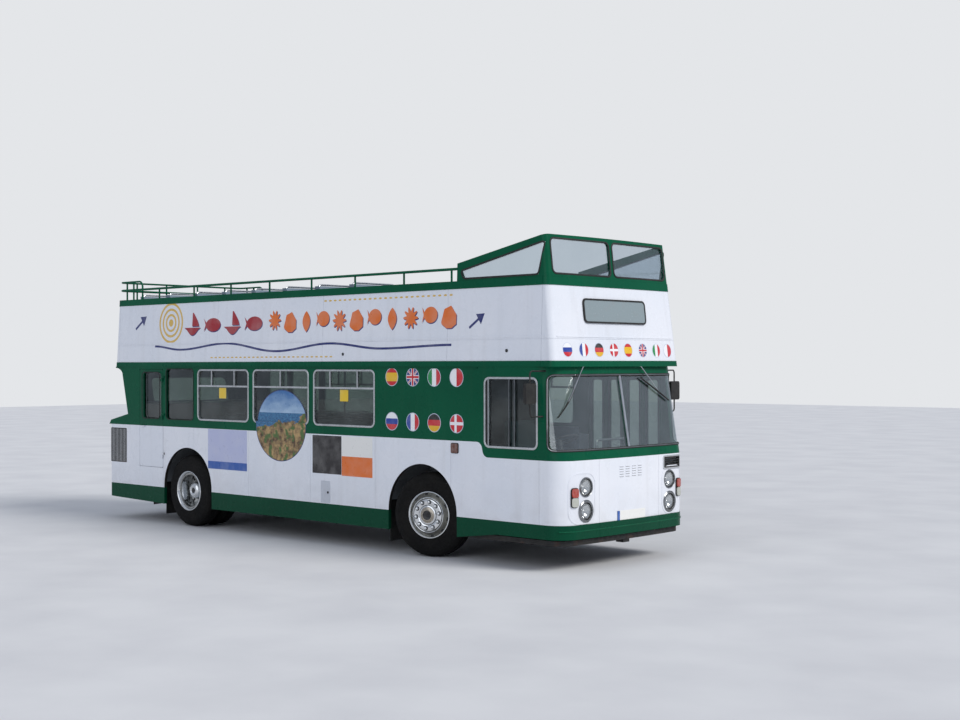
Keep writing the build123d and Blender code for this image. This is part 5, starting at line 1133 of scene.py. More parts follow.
def window_frames():
    """Bright frames with rounded corners and a transom, the upright bars of the vents over it, and the bars
    of the sliding pane in the cab's window."""
    frames, bright, grey, black, corners = [], [], [], [], []
    rank = {-1: 0, 1: 0}
    for box, sign in framed_panes():
        lay = on_side(sign)
        (x0, _, z0), (x1, _, z1) = box
        cab = x0 > CAB_WINDOW_X
        corner, opening = (0.066, 0.067) if cab else (0.071, 0.052)
        inside = inset_outline(box, 0.010, corner)
        corners.append(collar(inset_outline(box, -0.001, opening), inside, -0.015, -0.0003, lay))
        loop = dense(inset_outline(box, FRAME_HALF, corner))
        frames.append(seal(loop, lay, (0, sign, 0), FRAME_SECTION))
        top = z1 - 0.020
        if cab:
            places = [(x0 + 0.043, 0.017, black), (x0 + 0.070, 0.007, bright)]
            places += [(x, 0.006, grey) for x in CAB_BARS]
            foot = z0 + 0.020
        else:
            places = [(x0 + share * (x1 - x0), 0.011, bright) for share in VENT_SHARES[rank[sign]]]
            foot = TRANSOM_Z
            rank[sign] += 1
            rail = rounded_outline(x0 + 0.020, x1 - 0.020, TRANSOM_Z - 0.012, TRANSOM_Z + 0.012, 0.004, 3)
            frames.append(slab(rail, FRAME_INNER, 0.003, lay))
        for x, half, group in places:
            group.append(slab(rounded_outline(x - half, x + half, foot, top, 0.003, 3), -0.0220, 0.0015, lay))
    piece("window_corners", corners, "green")
    frame_piece = piece("bright_frames", frames, "bright_metal")
    piece("vent_dividers", bright, "bright_metal")
    piece("cab_sliding_bars", grey, "bar_grey")
    piece("cab_sliding_edge", black, "rubber")
    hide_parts("window_frames")


def vinyl(name, code, worn=0.12):
    """Printed film: even colour, faintly faded in clouds, with a satin face."""
    f = Finish(name, srgb(code), 0.32)
    f.colour(f.mix(f.ramp(f.noise(6.0, 5), 0.4, 0.75, 0.0, worn), srgb(code), srgb("E8E6E2")))
    f.rough(f.ramp(f.noise(20.0, 3), 0.3, 0.7, 0.26, 0.42))
    f.bump(f.noise(90.0, 3), 0.0002, 0.4)
    return f.material


def banded(name, codes, axis):
    """Flag of equal bands along one axis of its own map, X across or Y upwards, first colour first."""
    f = Finish(name, srgb(codes[0]), 0.3)
    u = f.axis(axis, "UV")
    colour = srgb(codes[0])
    for k, code in enumerate(codes[1:], 1):
        colour = f.mix(f.math("GREATER_THAN", u, k / len(codes)), colour, srgb(code))
    f.colour(f.mix(f.ramp(f.noise(8.0, 4), 0.4, 0.8, 0.0, 0.12), colour, srgb("E8E6E2")))
    f.rough(f.ramp(f.noise(20.0, 3), 0.3, 0.7, 0.24, 0.4))
    return f.material


def crossed(name, ground, layers):
    """Flag of crosses: each layer is (kind, middle, half width, colour); kind is upright or diagonal."""
    f = Finish(name, srgb(ground), 0.3)
    u, v = f.axis("X", "UV"), f.axis("Y", "UV")
    colour = srgb(ground)
    for kind, middle, half, code in layers:
        if kind == "upright":
            near = f.math("MINIMUM", f.math("ABSOLUTE", f.math("SUBTRACT", u, middle)),
                          f.math("ABSOLUTE", f.math("SUBTRACT", v, 0.5)))
        else:
            near = f.math("MINIMUM", f.math("ABSOLUTE", f.math("SUBTRACT", u, v)),
                          f.math("ABSOLUTE", f.math("SUBTRACT", f.math("ADD", u, v), 1.0)))
        colour = f.mix(f.math("LESS_THAN", near, half), colour, srgb(code))
    f.colour(f.mix(f.ramp(f.noise(8.0, 4), 0.4, 0.8, 0.0, 0.10), colour, srgb("E8E6E2")))
    f.rough(f.ramp(f.noise(20.0, 3), 0.3, 0.7, 0.24, 0.4))
    return f.material


FILM_COLOURS = {
    "pale_film": "E9E8E4",
    "maroon_film": "A0202A",
    "orange_film": "E0702A",
    "gold_film": "D8B25A",
    "navy_film": "1F2A6B",
    "lavender_film": "B9BEDC",
    "band_film": "2F5BA8",
    "black_film": "231F20",
    "yellow_film": "E6C22E",
    "rim_film": "C4CCDE",
}
for film, film_code in FILM_COLOURS.items():
    MAT[film] = vinyl(film, film_code)

# Flags: where the side's columns and rows are, the front row's height, and each flag's column, row and place
# across the front
FLAG_RADIUS = 0.108
FLAG_COLUMNS = (1.813, 2.190, 2.567, 2.950)
FLAG_ROWS = (2.221, 1.662)
FRONT_FLAG_Z = 2.545
FRONT_FLAG_RADIUS = 0.079
RED, BLUE, WHITE, GREEN, GOLD = "C8202A", "22409A", "F0F0F2", "1E8A4A", "E8B81E"
UNION = (("diagonal", 0.5, 0.075, WHITE), ("diagonal", 0.5, 0.035, RED),
         ("upright", 0.5, 0.105, WHITE), ("upright", 0.5, 0.065, RED))
FLAGS = (
    ("bands_red_gold", banded("flag_red_gold", (RED, GOLD, GOLD, RED), "Y"), 0, 0, 0.171),
    ("union", crossed("flag_union", "22307A", UNION), 1, 0, 0.468),
    ("green_white_red", banded("flag_green_white_red", (GREEN, WHITE, RED), "X"), 2, 0, 0.753),
    ("white_red", banded("flag_white_red", (WHITE, RED), "X"), 3, 0, 0.996),
    ("white_blue_red", banded("flag_white_blue_red", (RED, BLUE, WHITE), "Y"), 0, 1, -0.954),
    ("blue_white_red", banded("flag_blue_white_red", (BLUE, WHITE, RED), "X"), 1, 1, -0.666),
    ("black_red_gold", banded("flag_black_red_gold", ("E2B021", RED, "1A1A1A"), "Y"), 2, 1, -0.386),
    ("white_cross", crossed("flag_white_cross", RED, (("upright", 0.42, 0.085, WHITE),)), 3, 1, -0.106),
)


def flags():
    """Round national flags with pale rims: two rows beside the cab, and one row under the display."""
    rims = []
    for tag, finish, column, row, y in FLAGS:
        x, z = FLAG_COLUMNS[column], FLAG_ROWS[row]
        side = slab(circle(x, z, FLAG_RADIUS), 0.0, STICKER, on_side(-1))
        front = slab(circle(y, FRONT_FLAG_Z, FRONT_FLAG_RADIUS), 0.0, STICKER, on_deck_front)
        side_rim = circle(x, z, FLAG_RADIUS + 0.004)
        front_rim = circle(y, FRONT_FLAG_Z, FRONT_FLAG_RADIUS + 0.003)
        rims.append(ribbon(side_rim, 0.004, 0.0, STICKER, on_side(-1), True))
        rims.append(ribbon(front_rim, 0.003, 0.0, STICKER, on_deck_front, True))

        def face_map(co, x=x, z=z, y=y):
            on_nose = co[:, :1] > DECK_NOSE_X - 0.3
            front_map = (co[:, 1:] - (y, FRONT_FLAG_Z)) / FRONT_FLAG_RADIUS
            side_map = (co[:, ::2] - (x, z)) / FLAG_RADIUS
            return np.where(on_nose, front_map, side_map) / 2 + 0.5

        piece("flag_" + tag, [side, front], finish, smooth=False, uv=face_map)
    piece("flag_rims", rims, "rim_film", smooth=False)


# Frieze, as (x, z) along the side: the wave's high and low points, the sun's middle, its rings and its disc,
# the rows of motifs as first place, pitch and count, the large motifs as (z, width, height), the dots with
# their z too, and the arrows as (x, z, length, height, angle)
WAVE = ((-3.413, 2.656), (-2.754, 2.601), (-1.659, 2.682), (-0.505, 2.563), (0.604, 2.657), (1.620, 2.581),
        (2.853, 2.615))
SUN = (-3.014, 3.003)
SUN_RINGS = (0.285, 0.200, 0.118)
SUN_DISC = 0.055
MAROON_ROW = (-2.47, 0.48, 4)
BIG_BOAT = (2.975, 0.40, 0.33)
BIG_FISH = (2.955, 0.40, 0.27)
ORANGE_ROW = (-0.555, 0.336)
LOW_DOTS = (-1.98, 0.097, 28, 2.482)
HIGH_DOTS = (0.50, 0.097, 25, 3.222)
ARROWS = ((3.27, 2.90, 0.30, 0.15, 0.60), (-3.80, 3.02, 0.34, 0.17, 0.60))


def fish(x, z, w, h):
    """Outline of a fish: an oval body whose end opens into a tail."""
    t = np.linspace(0, TAU, 36, endpoint=False)
    body = np.stack([x + 0.06 * w + 0.44 * w * np.cos(t), z + 0.36 * h * np.sin(t)], axis=1)
    tail = np.array([(x - 0.5 * w, z - 0.34 * h), (x - 0.40 * w, z), (x - 0.5 * w, z + 0.34 * h)])
    ahead = body[(t < math.pi * 0.93) | (t > math.pi * 1.07)]
    top = ahead[: np.sum(t < math.pi * 0.93)]
    return np.vstack([top, tail[::-1], ahead[len(top):]])


def rosette(x, z, w, h, rays=10):
    """Outline of a sun: radius 1 + 0.28 cos(rays x angle), stretched to its box."""
    t = np.linspace(0, TAU, 12 * rays, endpoint=False)
    r = (1 + 0.28 * np.cos(rays * t)) / 1.28
    return np.stack([x + w / 2 * r * np.cos(t), z + h / 2 * r * np.sin(t)], axis=1)


def leaf(x, z, w, h):
    """Outline of a leaf that stands on its tip. At a share s of its height, half its width is
    0.4 x w x (sin of s x half a turn) to the power 0.8."""
    s = np.linspace(0, 1, 16)
    half = w / 2 * 0.8 * np.sin(math.pi * s) ** 0.8
    right = np.stack([x + half, z - h / 2 + h * s], axis=1)
    left = np.stack([x - half, z - h / 2 + h * s], axis=1)[::-1]
    return np.vstack([right, left[1:-1]])


def shell(x, z, w, h):
    """Outline of a scallop: a fan of seven lobes over a short foot."""
    t = np.linspace(-0.15, math.pi + 0.15, 64)
    r = 1 - 0.10 * np.abs(np.cos(3.5 * t))
    fan = np.stack([x + w / 2 * r * np.cos(t), z - 0.22 * h + 0.72 * h * r * np.sin(t)], axis=1)
    foot = np.array([(x - 0.16 * w, z - h / 2), (x + 0.16 * w, z - h / 2)])
    return np.vstack([fan, foot])


def boat(x, z, w, h):
    """Two outlines of a sailing boat: a hull with a curved keel, and a sail."""
    s = np.linspace(0, 1, 14)
    keel = np.stack([x - 0.36 * w + 0.72 * w * s, z - 0.24 * h - 0.26 * h * np.sin(math.pi * s)], axis=1)
    hull = np.vstack([keel, [(x + 0.5 * w, z - 0.16 * h), (x - 0.5 * w, z - 0.16 * h)]])
    curve = np.stack([x + 0.06 * w + 0.34 * w * np.sin(math.pi / 2 * (1 - s)) * (1 - s * 0.2),
                      z - 0.10 * h + 0.60 * h * s], axis=1)
    sail = np.vstack([curve, [(x, z + 0.5 * h), (x - 0.02 * w, z - 0.10 * h)]])
    return hull, sail


ORANGE_KINDS = (rosette, shell, leaf, fish, rosette, shell, fish, leaf, rosette, fish, shell)


def frieze():
    """Sea and sun motifs along the upper side: outlines by colour."""
    maroon, orange, gold = [], [], []
    start, pitch, count = MAROON_ROW
    for k in range(count):
        if k % 2 == 0:
            maroon += boat(start + pitch * k, *BIG_BOAT)
        else:
            maroon.append(fish(start + pitch * k, *BIG_FISH))
    start, pitch = ORANGE_ROW
    for k, kind in enumerate(ORANGE_KINDS):
        width = 0.20 if kind is leaf else 0.27
        orange.append(kind(start + pitch * k, 2.968 + 0.02 * math.cos(2.1 * k), width, 0.28))
    start, pitch, count, level = LOW_DOTS
    gold += [circle(start + pitch * k, level, 0.030, 0.010, 12) for k in range(count)]
    start, pitch, count, level = HIGH_DOTS
    gold += [circle(start + pitch * k, level, 0.028, 0.012, 12) for k in range(count)]
    return maroon, orange, gold


def arrow(x, z, length, height, angle):
    """Outline of a plain arrow turned about its middle."""
    half = length / 2
    neck = 0.10 * length
    shape = np.array([(-half, -0.10), (neck, -0.10), (neck, -0.5), (half, 0), (neck, 0.5), (neck, 0.10),
                      (-half, 0.10)]) * (1, height)
    turn = np.array([(math.cos(angle), math.sin(angle)), (-math.sin(angle), math.cos(angle))])
    return shape @ turn + (x, z)


def side_artwork():
    """Printed decoration of both upper sides, its shadows, the wave under it and an arrow at each end."""
    maroon, orange, gold = frieze()
    arrows = [arrow(*place) for place in ARROWS]
    for tag, sign in (("right", -1), ("left", 1)):
        lay = on_deck_side(sign)

        def film(outlines, lay=lay):
            return [slab(outline, 0.0, STICKER, lay) for outline in outlines]

        rings = [ribbon(circle(*SUN, r, steps=56), 0.017, 0.0, STICKER, lay, True) for r in SUN_RINGS]
        rings += film([circle(*SUN, SUN_DISC)])
        wave = ribbon(eased(WAVE), 0.0145, 0.0, STICKER, lay)
        shadows = [slab(outline + (0.012, -0.012), 0.0, STICKER * 0.5, lay) for outline in maroon + orange]
        piece("frieze_maroon_" + tag, film(maroon), "maroon_film", smooth=False)
        piece("frieze_orange_" + tag, film(orange), "orange_film", smooth=False)
        piece("frieze_gold_" + tag, rings + film(gold), "gold_film", smooth=False)
        piece("frieze_navy_" + tag, [wave] + film(arrows) + shadows, "navy_film", smooth=False)


def landscape():
    """Printed seascape: sky, a band of sea and a rocky shore, by the height in its own map."""
    f = Finish("landscape_film", srgb("6FA0C8"), 0.3)
    u, v = f.axis("X", "UV"), f.axis("Y", "UV")
    rough_edge = f.math("MULTIPLY", f.math("SUBTRACT", f.noise(5.0, 6), 0.5), 0.34)
    height = f.math("ADD", v, rough_edge)
    rock = f.mix(f.ramp(f.noise(16.0, 8), 0.35, 0.68), srgb("4E3A26"), srgb("B99A68"))
    scrub = f.mix(f.ramp(f.noise(9.0, 6), 0.52, 0.60), rock, srgb("4F6A34"))
    sea = f.mix(f.ramp(f.noise(26.0, 4, (1, 1, 4)), 0.35, 0.7), srgb("1E4E7E"), srgb("4F8DB4"))
    sky = f.mix(f.ramp(f.math("ADD", v, f.math("MULTIPLY", f.noise(5.0, 5, (1, 1, 2.2)), 0.35)), 0.80, 1.15),
                srgb("A9C4DC"), srgb("3E70A8"))
    picture = f.mix(f.math("GREATER_THAN", v, 0.68), sea, sky)
    shore = f.math("LESS_THAN", f.math("SUBTRACT", height, f.math("MULTIPLY", u, 0.22)), 0.42)
    f.colour(f.mix(shore, picture, scrub))
    f.rough(f.ramp(f.noise(20.0, 3), 0.3, 0.7, 0.24, 0.4))
    return f.material


def clip_level(outline, low, high):
    """The part of a convex outline between two heights."""
    for level, keep_above in ((low, True), (high, False)):
        result = []
        for start, end in zip(outline, np.roll(outline, -1, 0)):
            start_in = (start[1] >= level) == keep_above
            end_in = (end[1] >= level) == keep_above
            if start_in:
                result.append(start)
            if start_in != end_in:
                share = (level - start[1]) / (end[1] - start[1])
                result.append(start + share * (end - start))
        outline = np.array(result)
    return outline


# The oval picture's middle and half sizes, the sill where its upper part steps in to the window's glass,
# blank posters as (x, x, z, z) with their thickness in films, and the stickers on the glass
OVAL = (-0.403, 1.545, 0.530, 0.480)
OVAL_SILL = 1.565
POSTERS = (
    ("poster_lavender", "lavender_film", (-2.060, -1.150, 0.935, 1.450), 1.0),
    ("poster_band", "band_film", (-2.060, -1.150, 0.880, 0.990), 1.6),
    ("poster_black", "black_film", (0.270, 0.852, 0.935, 1.440), 1.0),
    ("poster_white", "pale_film", (0.858, 1.450, 1.180, 1.440), 1.0),
    ("poster_orange", "orange_film", (0.858, 1.450, 0.925, 1.180), 1.0),
)
STICKERS = ((-1.825, -1.661), (0.798, 0.959))
STICKER_ROW = (1.896, 2.047)


def side_pictures():
    """The oval picture over a window and the panel below it, and blank posters and stickers."""
    x, z, half, tall = OVAL
    sill_top = OVAL_SILL + 0.026
    zones = ((0.0, OVAL_SILL, 0.0), (OVAL_SILL, sill_top, 0.006), (sill_top, 3.0, -GLASS_SET_IN))

    def in_zones(outline, films):
        return [slab(clip_level(outline, low, high), depth, depth + STICKER * films, on_side(-1))
                for low, high, depth in zones]

    def face_map(co):
        return np.stack([(co[:, 0] - x) / half, (co[:, 2] - z) / tall], axis=1) / 2 + 0.5

    face = in_zones(circle(x, z, half, tall, 96), 1.4)
    edge = in_zones(circle(x, z, half + 0.010, tall + 0.010, 96), 1.0)
    piece("oval_picture", face, landscape(), smooth=False, uv=face_map)
    piece("oval_rim", edge, "navy_film", smooth=False)
    for name, finish, box, films in POSTERS:
        poster = slab(rounded_outline(*box, 0.004, 3), 0.0, STICKER * films, on_side(-1))
        piece(name, poster, finish, smooth=False)
    inset = on_side(-1, -GLASS_SET_IN)
    stickers = [slab(rounded_outline(x0, x1, *STICKER_ROW, 0.008, 4), 0.0, STICKER, inset)
                for x0, x1 in STICKERS]
    piece("window_stickers", stickers, "yellow_film", smooth=False)


# Seats: a bench deeper than DEEP_SEAT stands on a shell, and one is cut into cushions of about SEAT_WIDTH
DEEP_SEAT = 0.16
PAD_THICKNESS = 0.110
SEAT_WIDTH = 0.45


def cushion(low, high, lift=0.014, waist=0.010, rows=15, columns=23):
    """A stuffed seat pad in a box: both faces are grids over (a, b) from -1 to 1. The plan is the box's, with
    sides that pull in by waist x (1 - b squared). The height is the half height x ((1 - a to the 8th)
    (1 - b to the 8th)) to the power 0.35, with a crown on top and two sewn channels as grooves."""
    low, high = np.asarray(low, float), np.asarray(high, float)
    middle, half = (low + high) / 2, (high - low) / 2
    shape = np.sin(np.linspace(-math.pi / 2, math.pi / 2, rows))
    across = np.sin(np.linspace(-math.pi / 2, math.pi / 2, columns))
    a, b = np.meshgrid(shape, across, indexing="ij")
    edge = np.clip((1 - np.abs(a) ** 8) * (1 - np.abs(b) ** 8), 0, 1) ** 0.35
    x = middle[0] + a * (half[0] - waist * (1 - b ** 2) * np.abs(a))
    y = middle[1] + b * (half[1] - waist * (1 - a ** 2) * np.abs(b))
    crown = lift * (1 - a ** 2) * (1 - b ** 2)
    groove = 0.006 * (np.exp(-((a - 0.45) / 0.05) ** 2) + np.exp(-((a + 0.45) / 0.05) ** 2)) * edge
    top = middle[2] + (half[2] - lift) * edge + crown - groove
    under = middle[2] - half[2] * edge
    upper = np.stack([x, y, top], axis=-1).reshape(-1, 3)
    lower = np.stack([x, y, under], axis=-1).reshape(-1, 3)
    faces = grid_quads(rows, columns)
    count = len(upper)
    return np.concatenate([upper, lower]), faces + [[count + i for i in face[::-1]] for face in faces]


def piping(low, high, level, radius=0.004):
    """The sewn edge round a pad at one level."""
    loop = rounded_outline(low[0] + 0.006, high[0] - 0.006, low[1] + 0.006, high[1] - 0.006, 0.04, 5)
    path = np.column_stack([loop, np.full(len(loop), level)])
    return sweep(path, disc_section(radius, 6), (0, 0, 1), closed=True)


def plinth(x, foot, y0, y1):
    """The moulded shell under a deep seat: its outline seen from the side, carried across the seat."""
    top = foot + 0.32
    outline = [(x + 0.01, foot), (x + 0.22, foot), (x + 0.25, foot + 0.28), (x + 0.39, top), (x + 0.01, top)]
    return slab(outline, y0 + 0.02, y1 - 0.02, lengthwise)


def seats():
    """Stuffed cushions over the plain ones, their piping and shells, and a bright tube along each back."""
    pads, cords, plinths = [], [], []
    for low, high in islands("seat_cushions"):
        foot = low[2]
        if high[2] - foot > DEEP_SEAT:
            low = np.array([low[0], low[1], high[2] - PAD_THICKNESS])
            plinths.append(plinth(low[0], foot, low[1], high[1]))
        thickness = high[2] - low[2]
        widths = max(1, round((high[1] - low[1]) / SEAT_WIDTH))
        edges = np.linspace(low[1], high[1], widths + 1)
        for y0, y1 in zip(edges[:-1], edges[1:]):
            a, b = np.array([low[0], y0 + 0.001, low[2]]), np.array([high[0], y1 - 0.001, high[2]])
            pads.append(cushion(a, b))
            cords.append(piping(a, b, a[2] + 0.62 * thickness))
    pad = piece("seat_pads", pads, "cloth")
    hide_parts("seat_cushions")
    piece("seat_plinths", plinths, "shell", smooth=False)
    piece("seat_piping", cords, "piping")
    rails = []
    for low, high in islands("seat_backs"):
        if high[2] - low[2] < 0.4 or high[1] - low[1] < 0.5:
            continue
        x, top = low[0] + 0.030, high[2] + 0.020
        y0, y1 = low[1] + 0.035, high[1] - 0.035
        line = [(x + 0.02, y0, top - 0.12), (x, y0, top), (x, y1, top), (x + 0.02, y1, top - 0.12)]
        rails.append(bent_tube(line, 0.05, 0.0125, 10, 5))
    piece("seat_back_rails", rails, "rail_steel")


# Wipers on the front's surface: spindle, joint with the blade, and the blade's two ends. Above ARM_TOP an arm
# rises straight up from the surface's place at that height. Sections are flat.
WIPERS = (
    ((-0.692, 2.362), (-1.003, 1.952), ((-0.850, 2.115), (-1.150, 1.765))),
    ((0.392, 2.362), (0.712, 2.065), ((0.405, 2.215), (0.952, 1.928))),
)
WIPER_NORMAL = (1, 0, 0.15)
ARM_TOP = 2.348
ARM_SECTION = [(-0.0065, -0.002), (0.0065, -0.002), (0.005, 0.003), (-0.005, 0.003)]
SPINDLE = [(0.017, -0.030), (0.017, 0.010), (0.011, 0.016), (0, 0.018)]
BLADE_SECTION = [(-0.003, -0.002), (0.003, -0.002), (0.002, 0.016), (-0.002, 0.016)]
SPINE_SECTION = [(-0.006, -0.002), (0.006, -0.002), (0.006, 0.002), (-0.006, 0.002)]


def wipers():
    """Bright wiper arms from their spindles, and black blades on them, lying on the windscreen."""
    arms, blades = [], []
    for pivot, joint, (blade_start, blade_end) in WIPERS:
        share = np.linspace(0, 1, 10)[:, None]
        line = np.array(pivot) + share * (np.array(joint) - np.array(pivot))
        path = on_front(line[:, 0], np.minimum(line[:, 1], ARM_TOP), 0.046 - 0.020 * share[:, 0])
        path[:, 2] = line[:, 1]
        arms.append(sweep(path, ARM_SECTION, WIPER_NORMAL))
        arms.append(lathe(SPINDLE, path[0] - (0.012, 0, 0), WIPER_NORMAL, 24))
        run = np.linspace(0, 1, 14)
        line = np.array(blade_start) + run[:, None] * (np.array(blade_end) - np.array(blade_start))
        rubber = on_front(line[:, 0], line[:, 1], np.full(len(line), 0.003))
        blades.append(sweep(rubber, BLADE_SECTION, WIPER_NORMAL))
        spine = on_front(line[:, 0], line[:, 1], 0.019 + 0.005 * np.sin(math.pi * run))
        blades.append(sweep(spine, SPINE_SECTION, WIPER_NORMAL))
    arm = piece("wiper_arms", arms, "chrome")
    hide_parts("wipers")
    piece("wiper_blades", blades, "rubber")


# Rear face of the mirror heads, and the glass as (across, across, up, up)
MIRROR_X = 4.262
MIRROR = (1.318, 1.482, 1.936, 2.149)


def mirror_glasses():
    """Silvered glass in the rearward face of each mirror head, with a raised rim."""
    def on_mirror(u, v, depth):
        return np.stack([MIRROR_X - depth, u, v], axis=-1)

    inner, outer, low, high = MIRROR
    outlines = [rounded_outline(y0, y1, low, high, 0.03) for y0, y1 in both_sides(inner, outer)]
    piece("mirror_glasses", [slab(outline, -0.001, 0.0022, on_mirror) for outline in outlines], "mirror")
    rims = [ribbon(outline, 0.006, -0.001, 0.005, on_mirror, True) for outline in outlines]
    piece("mirror_rims", rims, "rubber")


# Nose: boxes across and up of the front plate with its blue end, of the grille and of the display, the rear
# plate's box, the louvres' first place, pitch and count each way and how much further their halves stand
# apart, and the long beads as (start, end, z)
FRONT_PLATE = (-0.250, 0.295, 0.534, 0.650)
PLATE_END = (-0.250, -0.205, 0.534, 0.650)
REAR_PLATE = (-0.30, 0.30, 0.372, 0.486)
LOUVRE_START = (-0.165, 1.052)
LOUVRE_PITCH = (0.115, 0.029)
LOUVRE_COUNT = (4, 5)
LOUVRE_GAP = 0.010
FRONT_GRILLE = (0.684, 1.056, 1.099, 1.251)
DISPLAY = (-0.610, 0.570, 2.870, 3.140)
BUMPER_CREASE = (-1.20, 1.20, 0.470)
DECK_SIDE_BEAD = (-4.40, 4.36, 2.700)
DECK_NOSE_BEAD = (-1.12, 1.12, 2.700)


def level_line(start, end, level, steps):
    """Even points along a level line of a surface."""
    return np.stack([np.linspace(start, end, steps), np.full(steps, level)], axis=1)


def number_plates():
    """Blank plates in front and behind; the front one has a blue end."""
    plates = [sheet(*FRONT_PLATE, 0.006, 0.0, 0.004, on_front),
              slab(rounded_outline(*REAR_PLATE, 0.006, 4), 0.002, 0.006, on_back)]
    piece("number_plates", plates, "pale_film", smooth=False)
    end = sheet(*PLATE_END, 0.006, 0.0, 0.0048, on_front)
    piece("number_plate_end", end, "band_film", smooth=False)


def nose_details():
    """Louvres with black strips of painted shade under them, the grille's frame, the display's glass and rim,
    the bumper's crease and the long beads.
    """
    louvres, louvre_shades = [], []
    columns, rows = LOUVRE_COUNT
    for column in range(columns):
        y = LOUVRE_START[0] + LOUVRE_PITCH[0] * column + (LOUVRE_GAP if column >= columns // 2 else 0.0)
        for row in range(rows):
            z = LOUVRE_START[1] + LOUVRE_PITCH[1] * row
            louvres.append(sheet(y - 0.040, y + 0.040, z, z + 0.011, 0.005, -0.001, 0.006, on_front))
            # Black strip under each louvre: painted shade of its opening
            louvre_shades.append(sheet(y - 0.037, y + 0.037, z - 0.005, z + 0.002, 0.002, -0.001, 0.0008, on_front))
    piece("front_louvres", louvres, "white")
    piece("front_louvre_slits", louvre_shades, "display")
    edge = dense(rounded_outline(*FRONT_GRILLE, 0.02))
    grille = ribbon(edge, 0.009, 0.0, 0.009, on_front, True)
    piece("front_grille_frame", grille, "chrome")
    rim = ribbon(dense(rounded_outline(*DISPLAY, 0.050, 10)), 0.010, 0.0, 0.018, on_deck_front, True)
    piece("display_rim", rim, "rubber")
    y0, y1, z0, z1 = DISPLAY
    pane = sheet(y0 + 0.006, y1 - 0.006, z0 + 0.006, z1 - 0.006, 0.045, 0.006, 0.0135, on_deck_front)
    piece("display_pane", pane, "display_pane")
    crease = ribbon(level_line(*BUMPER_CREASE, 60), 0.008, 0.006, 0.0145, on_front)
    piece("bumper_crease", crease, "green")
    side = level_line(*DECK_SIDE_BEAD, 60)
    beads = [ribbon(side, 0.009, 0.0, 0.005, on_deck_side(sign)) for sign in (-1, 1)]
    beads.append(ribbon(level_line(*DECK_NOSE_BEAD, 50), 0.009, 0.0, 0.005, on_deck_front))
    piece("deck_beads", beads, "white")


# Sides and tail: the filler flap and its knob, the side grilles' slats as (first x, last x, z, z), the tail
# fillet's curve, the round fittings' places, and the gutters over the windows as (start, end, z)
FILLER_FLAP = (0.442, 0.628, 0.548, 0.840)
FILLER_KNOB = (0.585, -SIDE_Y, 0.69)
KNOB = [(0.016, 0), (0.016, 0.008), (0.008, 0.012), (0, 0.012)]
GRILLE_SLATS = (TAIL_X + 0.080, TAIL_X + 0.468, 0.882, 1.388)
SLAT_COUNT = 11
FILLET_RUN = 0.195
FILLET_RISE = 0.150
FITTINGS = ((3.760, 2.538), (0.876, 2.513))
FITTING = [(0.020, 0), (0.019, 0.008), (0.008, 0.015), (0, 0.015)]
GUTTER = (-3.14, 3.30, 2.334)


def side_details():
    """Fuel filler flap, slats of the side grilles, the round fittings and the gutters."""
    flap = slab(rounded_outline(*FILLER_FLAP, 0.012), 0.0, 0.0025, on_side(-1))
    piece("filler_flap", flap, "flap_grey")
    slats = []
    x0, x1, z0, z1 = GRILLE_SLATS
    for sign in (-1, 1):
        for x in np.linspace(x0, x1, SLAT_COUNT):
            outline = rounded_outline(x - 0.0065, x + 0.0065, z0, z1, 0.003, 3)
            slats.append(slab(outline, -0.010, 0.003, on_side(sign)))
    piece("side_grille_slats", slats, "bright_metal")
    knobs = [lathe(KNOB, FILLER_KNOB, (0, -1, 0), 20)]
    for x, z in FITTINGS:
        for sign in (-1, 1):
            y = sign * (SIDE_Y - DECK_SIDE_LEAN * (z - BAND_TOP))
            knobs.append(lathe(FITTING, (x, y, z), (0, sign, 0), 20))
    piece("side_fittings", knobs, "display")
    line = level_line(*GUTTER, 40)
    gutters = [ribbon(line, 0.006, 0.0, 0.010, on_side(sign)) for sign in (-1, 1)]
    piece("rain_gutters", gutters, "green")


def tail_fillet():
    """The cove under the upper deck's tail: a quarter of an ellipse from the overhang's edge to the wall."""
    turn = np.linspace(0, math.pi / 2, 12)
    wall_x, wall_z = REAR_WALL[1]
    edge, under = wall_x - 0.172, wall_z - 0.020
    x = wall_x + 0.035 - FILLET_RUN * (1 - np.sin(turn))
    curve = np.stack([x, under - FILLET_RISE * (1 - np.cos(turn))], axis=1)
    section = np.vstack([[(edge, wall_z), (edge, under)], curve, [(wall_x + 0.030, wall_z)]])
    fillet = slab(section, -SIDE_Y + 0.010, SIDE_Y - 0.010, lengthwise)
    piece("tail_fillet", fillet, "green")


def engine_cover_handle():
    """A bent grip and a round lock on the engine cover, riding on it."""
    low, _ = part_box("engine_cover")
    back, level = low.x - 0.001, low.z + 0.075
    root, grip = back + 0.004, back - 0.030
    line = [(root, -0.075, level), (grip, -0.075, level), (grip, 0.075, level), (root, 0.075, level)]
    lock = lathe([(0.016, 0), (0.016, 0.006), (0.007, 0.010), (0, 0.010)], (back + 0.002, 0.150, level),
                 (-1, 0, 0), 20)
    shapes = [bent_tube(line, 0.018, 0.007, 10, 5), lock]
    piece("engine_cover_handle", shapes, "chrome", "engine_cover")


# Folding leaves: how far their faces lie behind the side, and their thickness at the glass
LEAF_SET_IN = 0.008
LEAF_THICKNESS = 0.030


def door_trim():
    """Rubber round each leaf's glass, outside and inside."""
    for k in range(1, 5):
        low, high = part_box("door_glass_%d" % k)
        loop = rounded_outline(low.x, high.x, low.z, high.z, 0.040)
        outer = seal(loop, on_side(1, -LEAF_SET_IN), (0, 1, 0))
        inner = seal(loop, on_side(1, -LEAF_SET_IN - LEAF_THICKNESS), (0, -1, 0))
        piece("leaf_seal_%d" % k, [outer, inner], "rubber", "leaf_%d" % k)


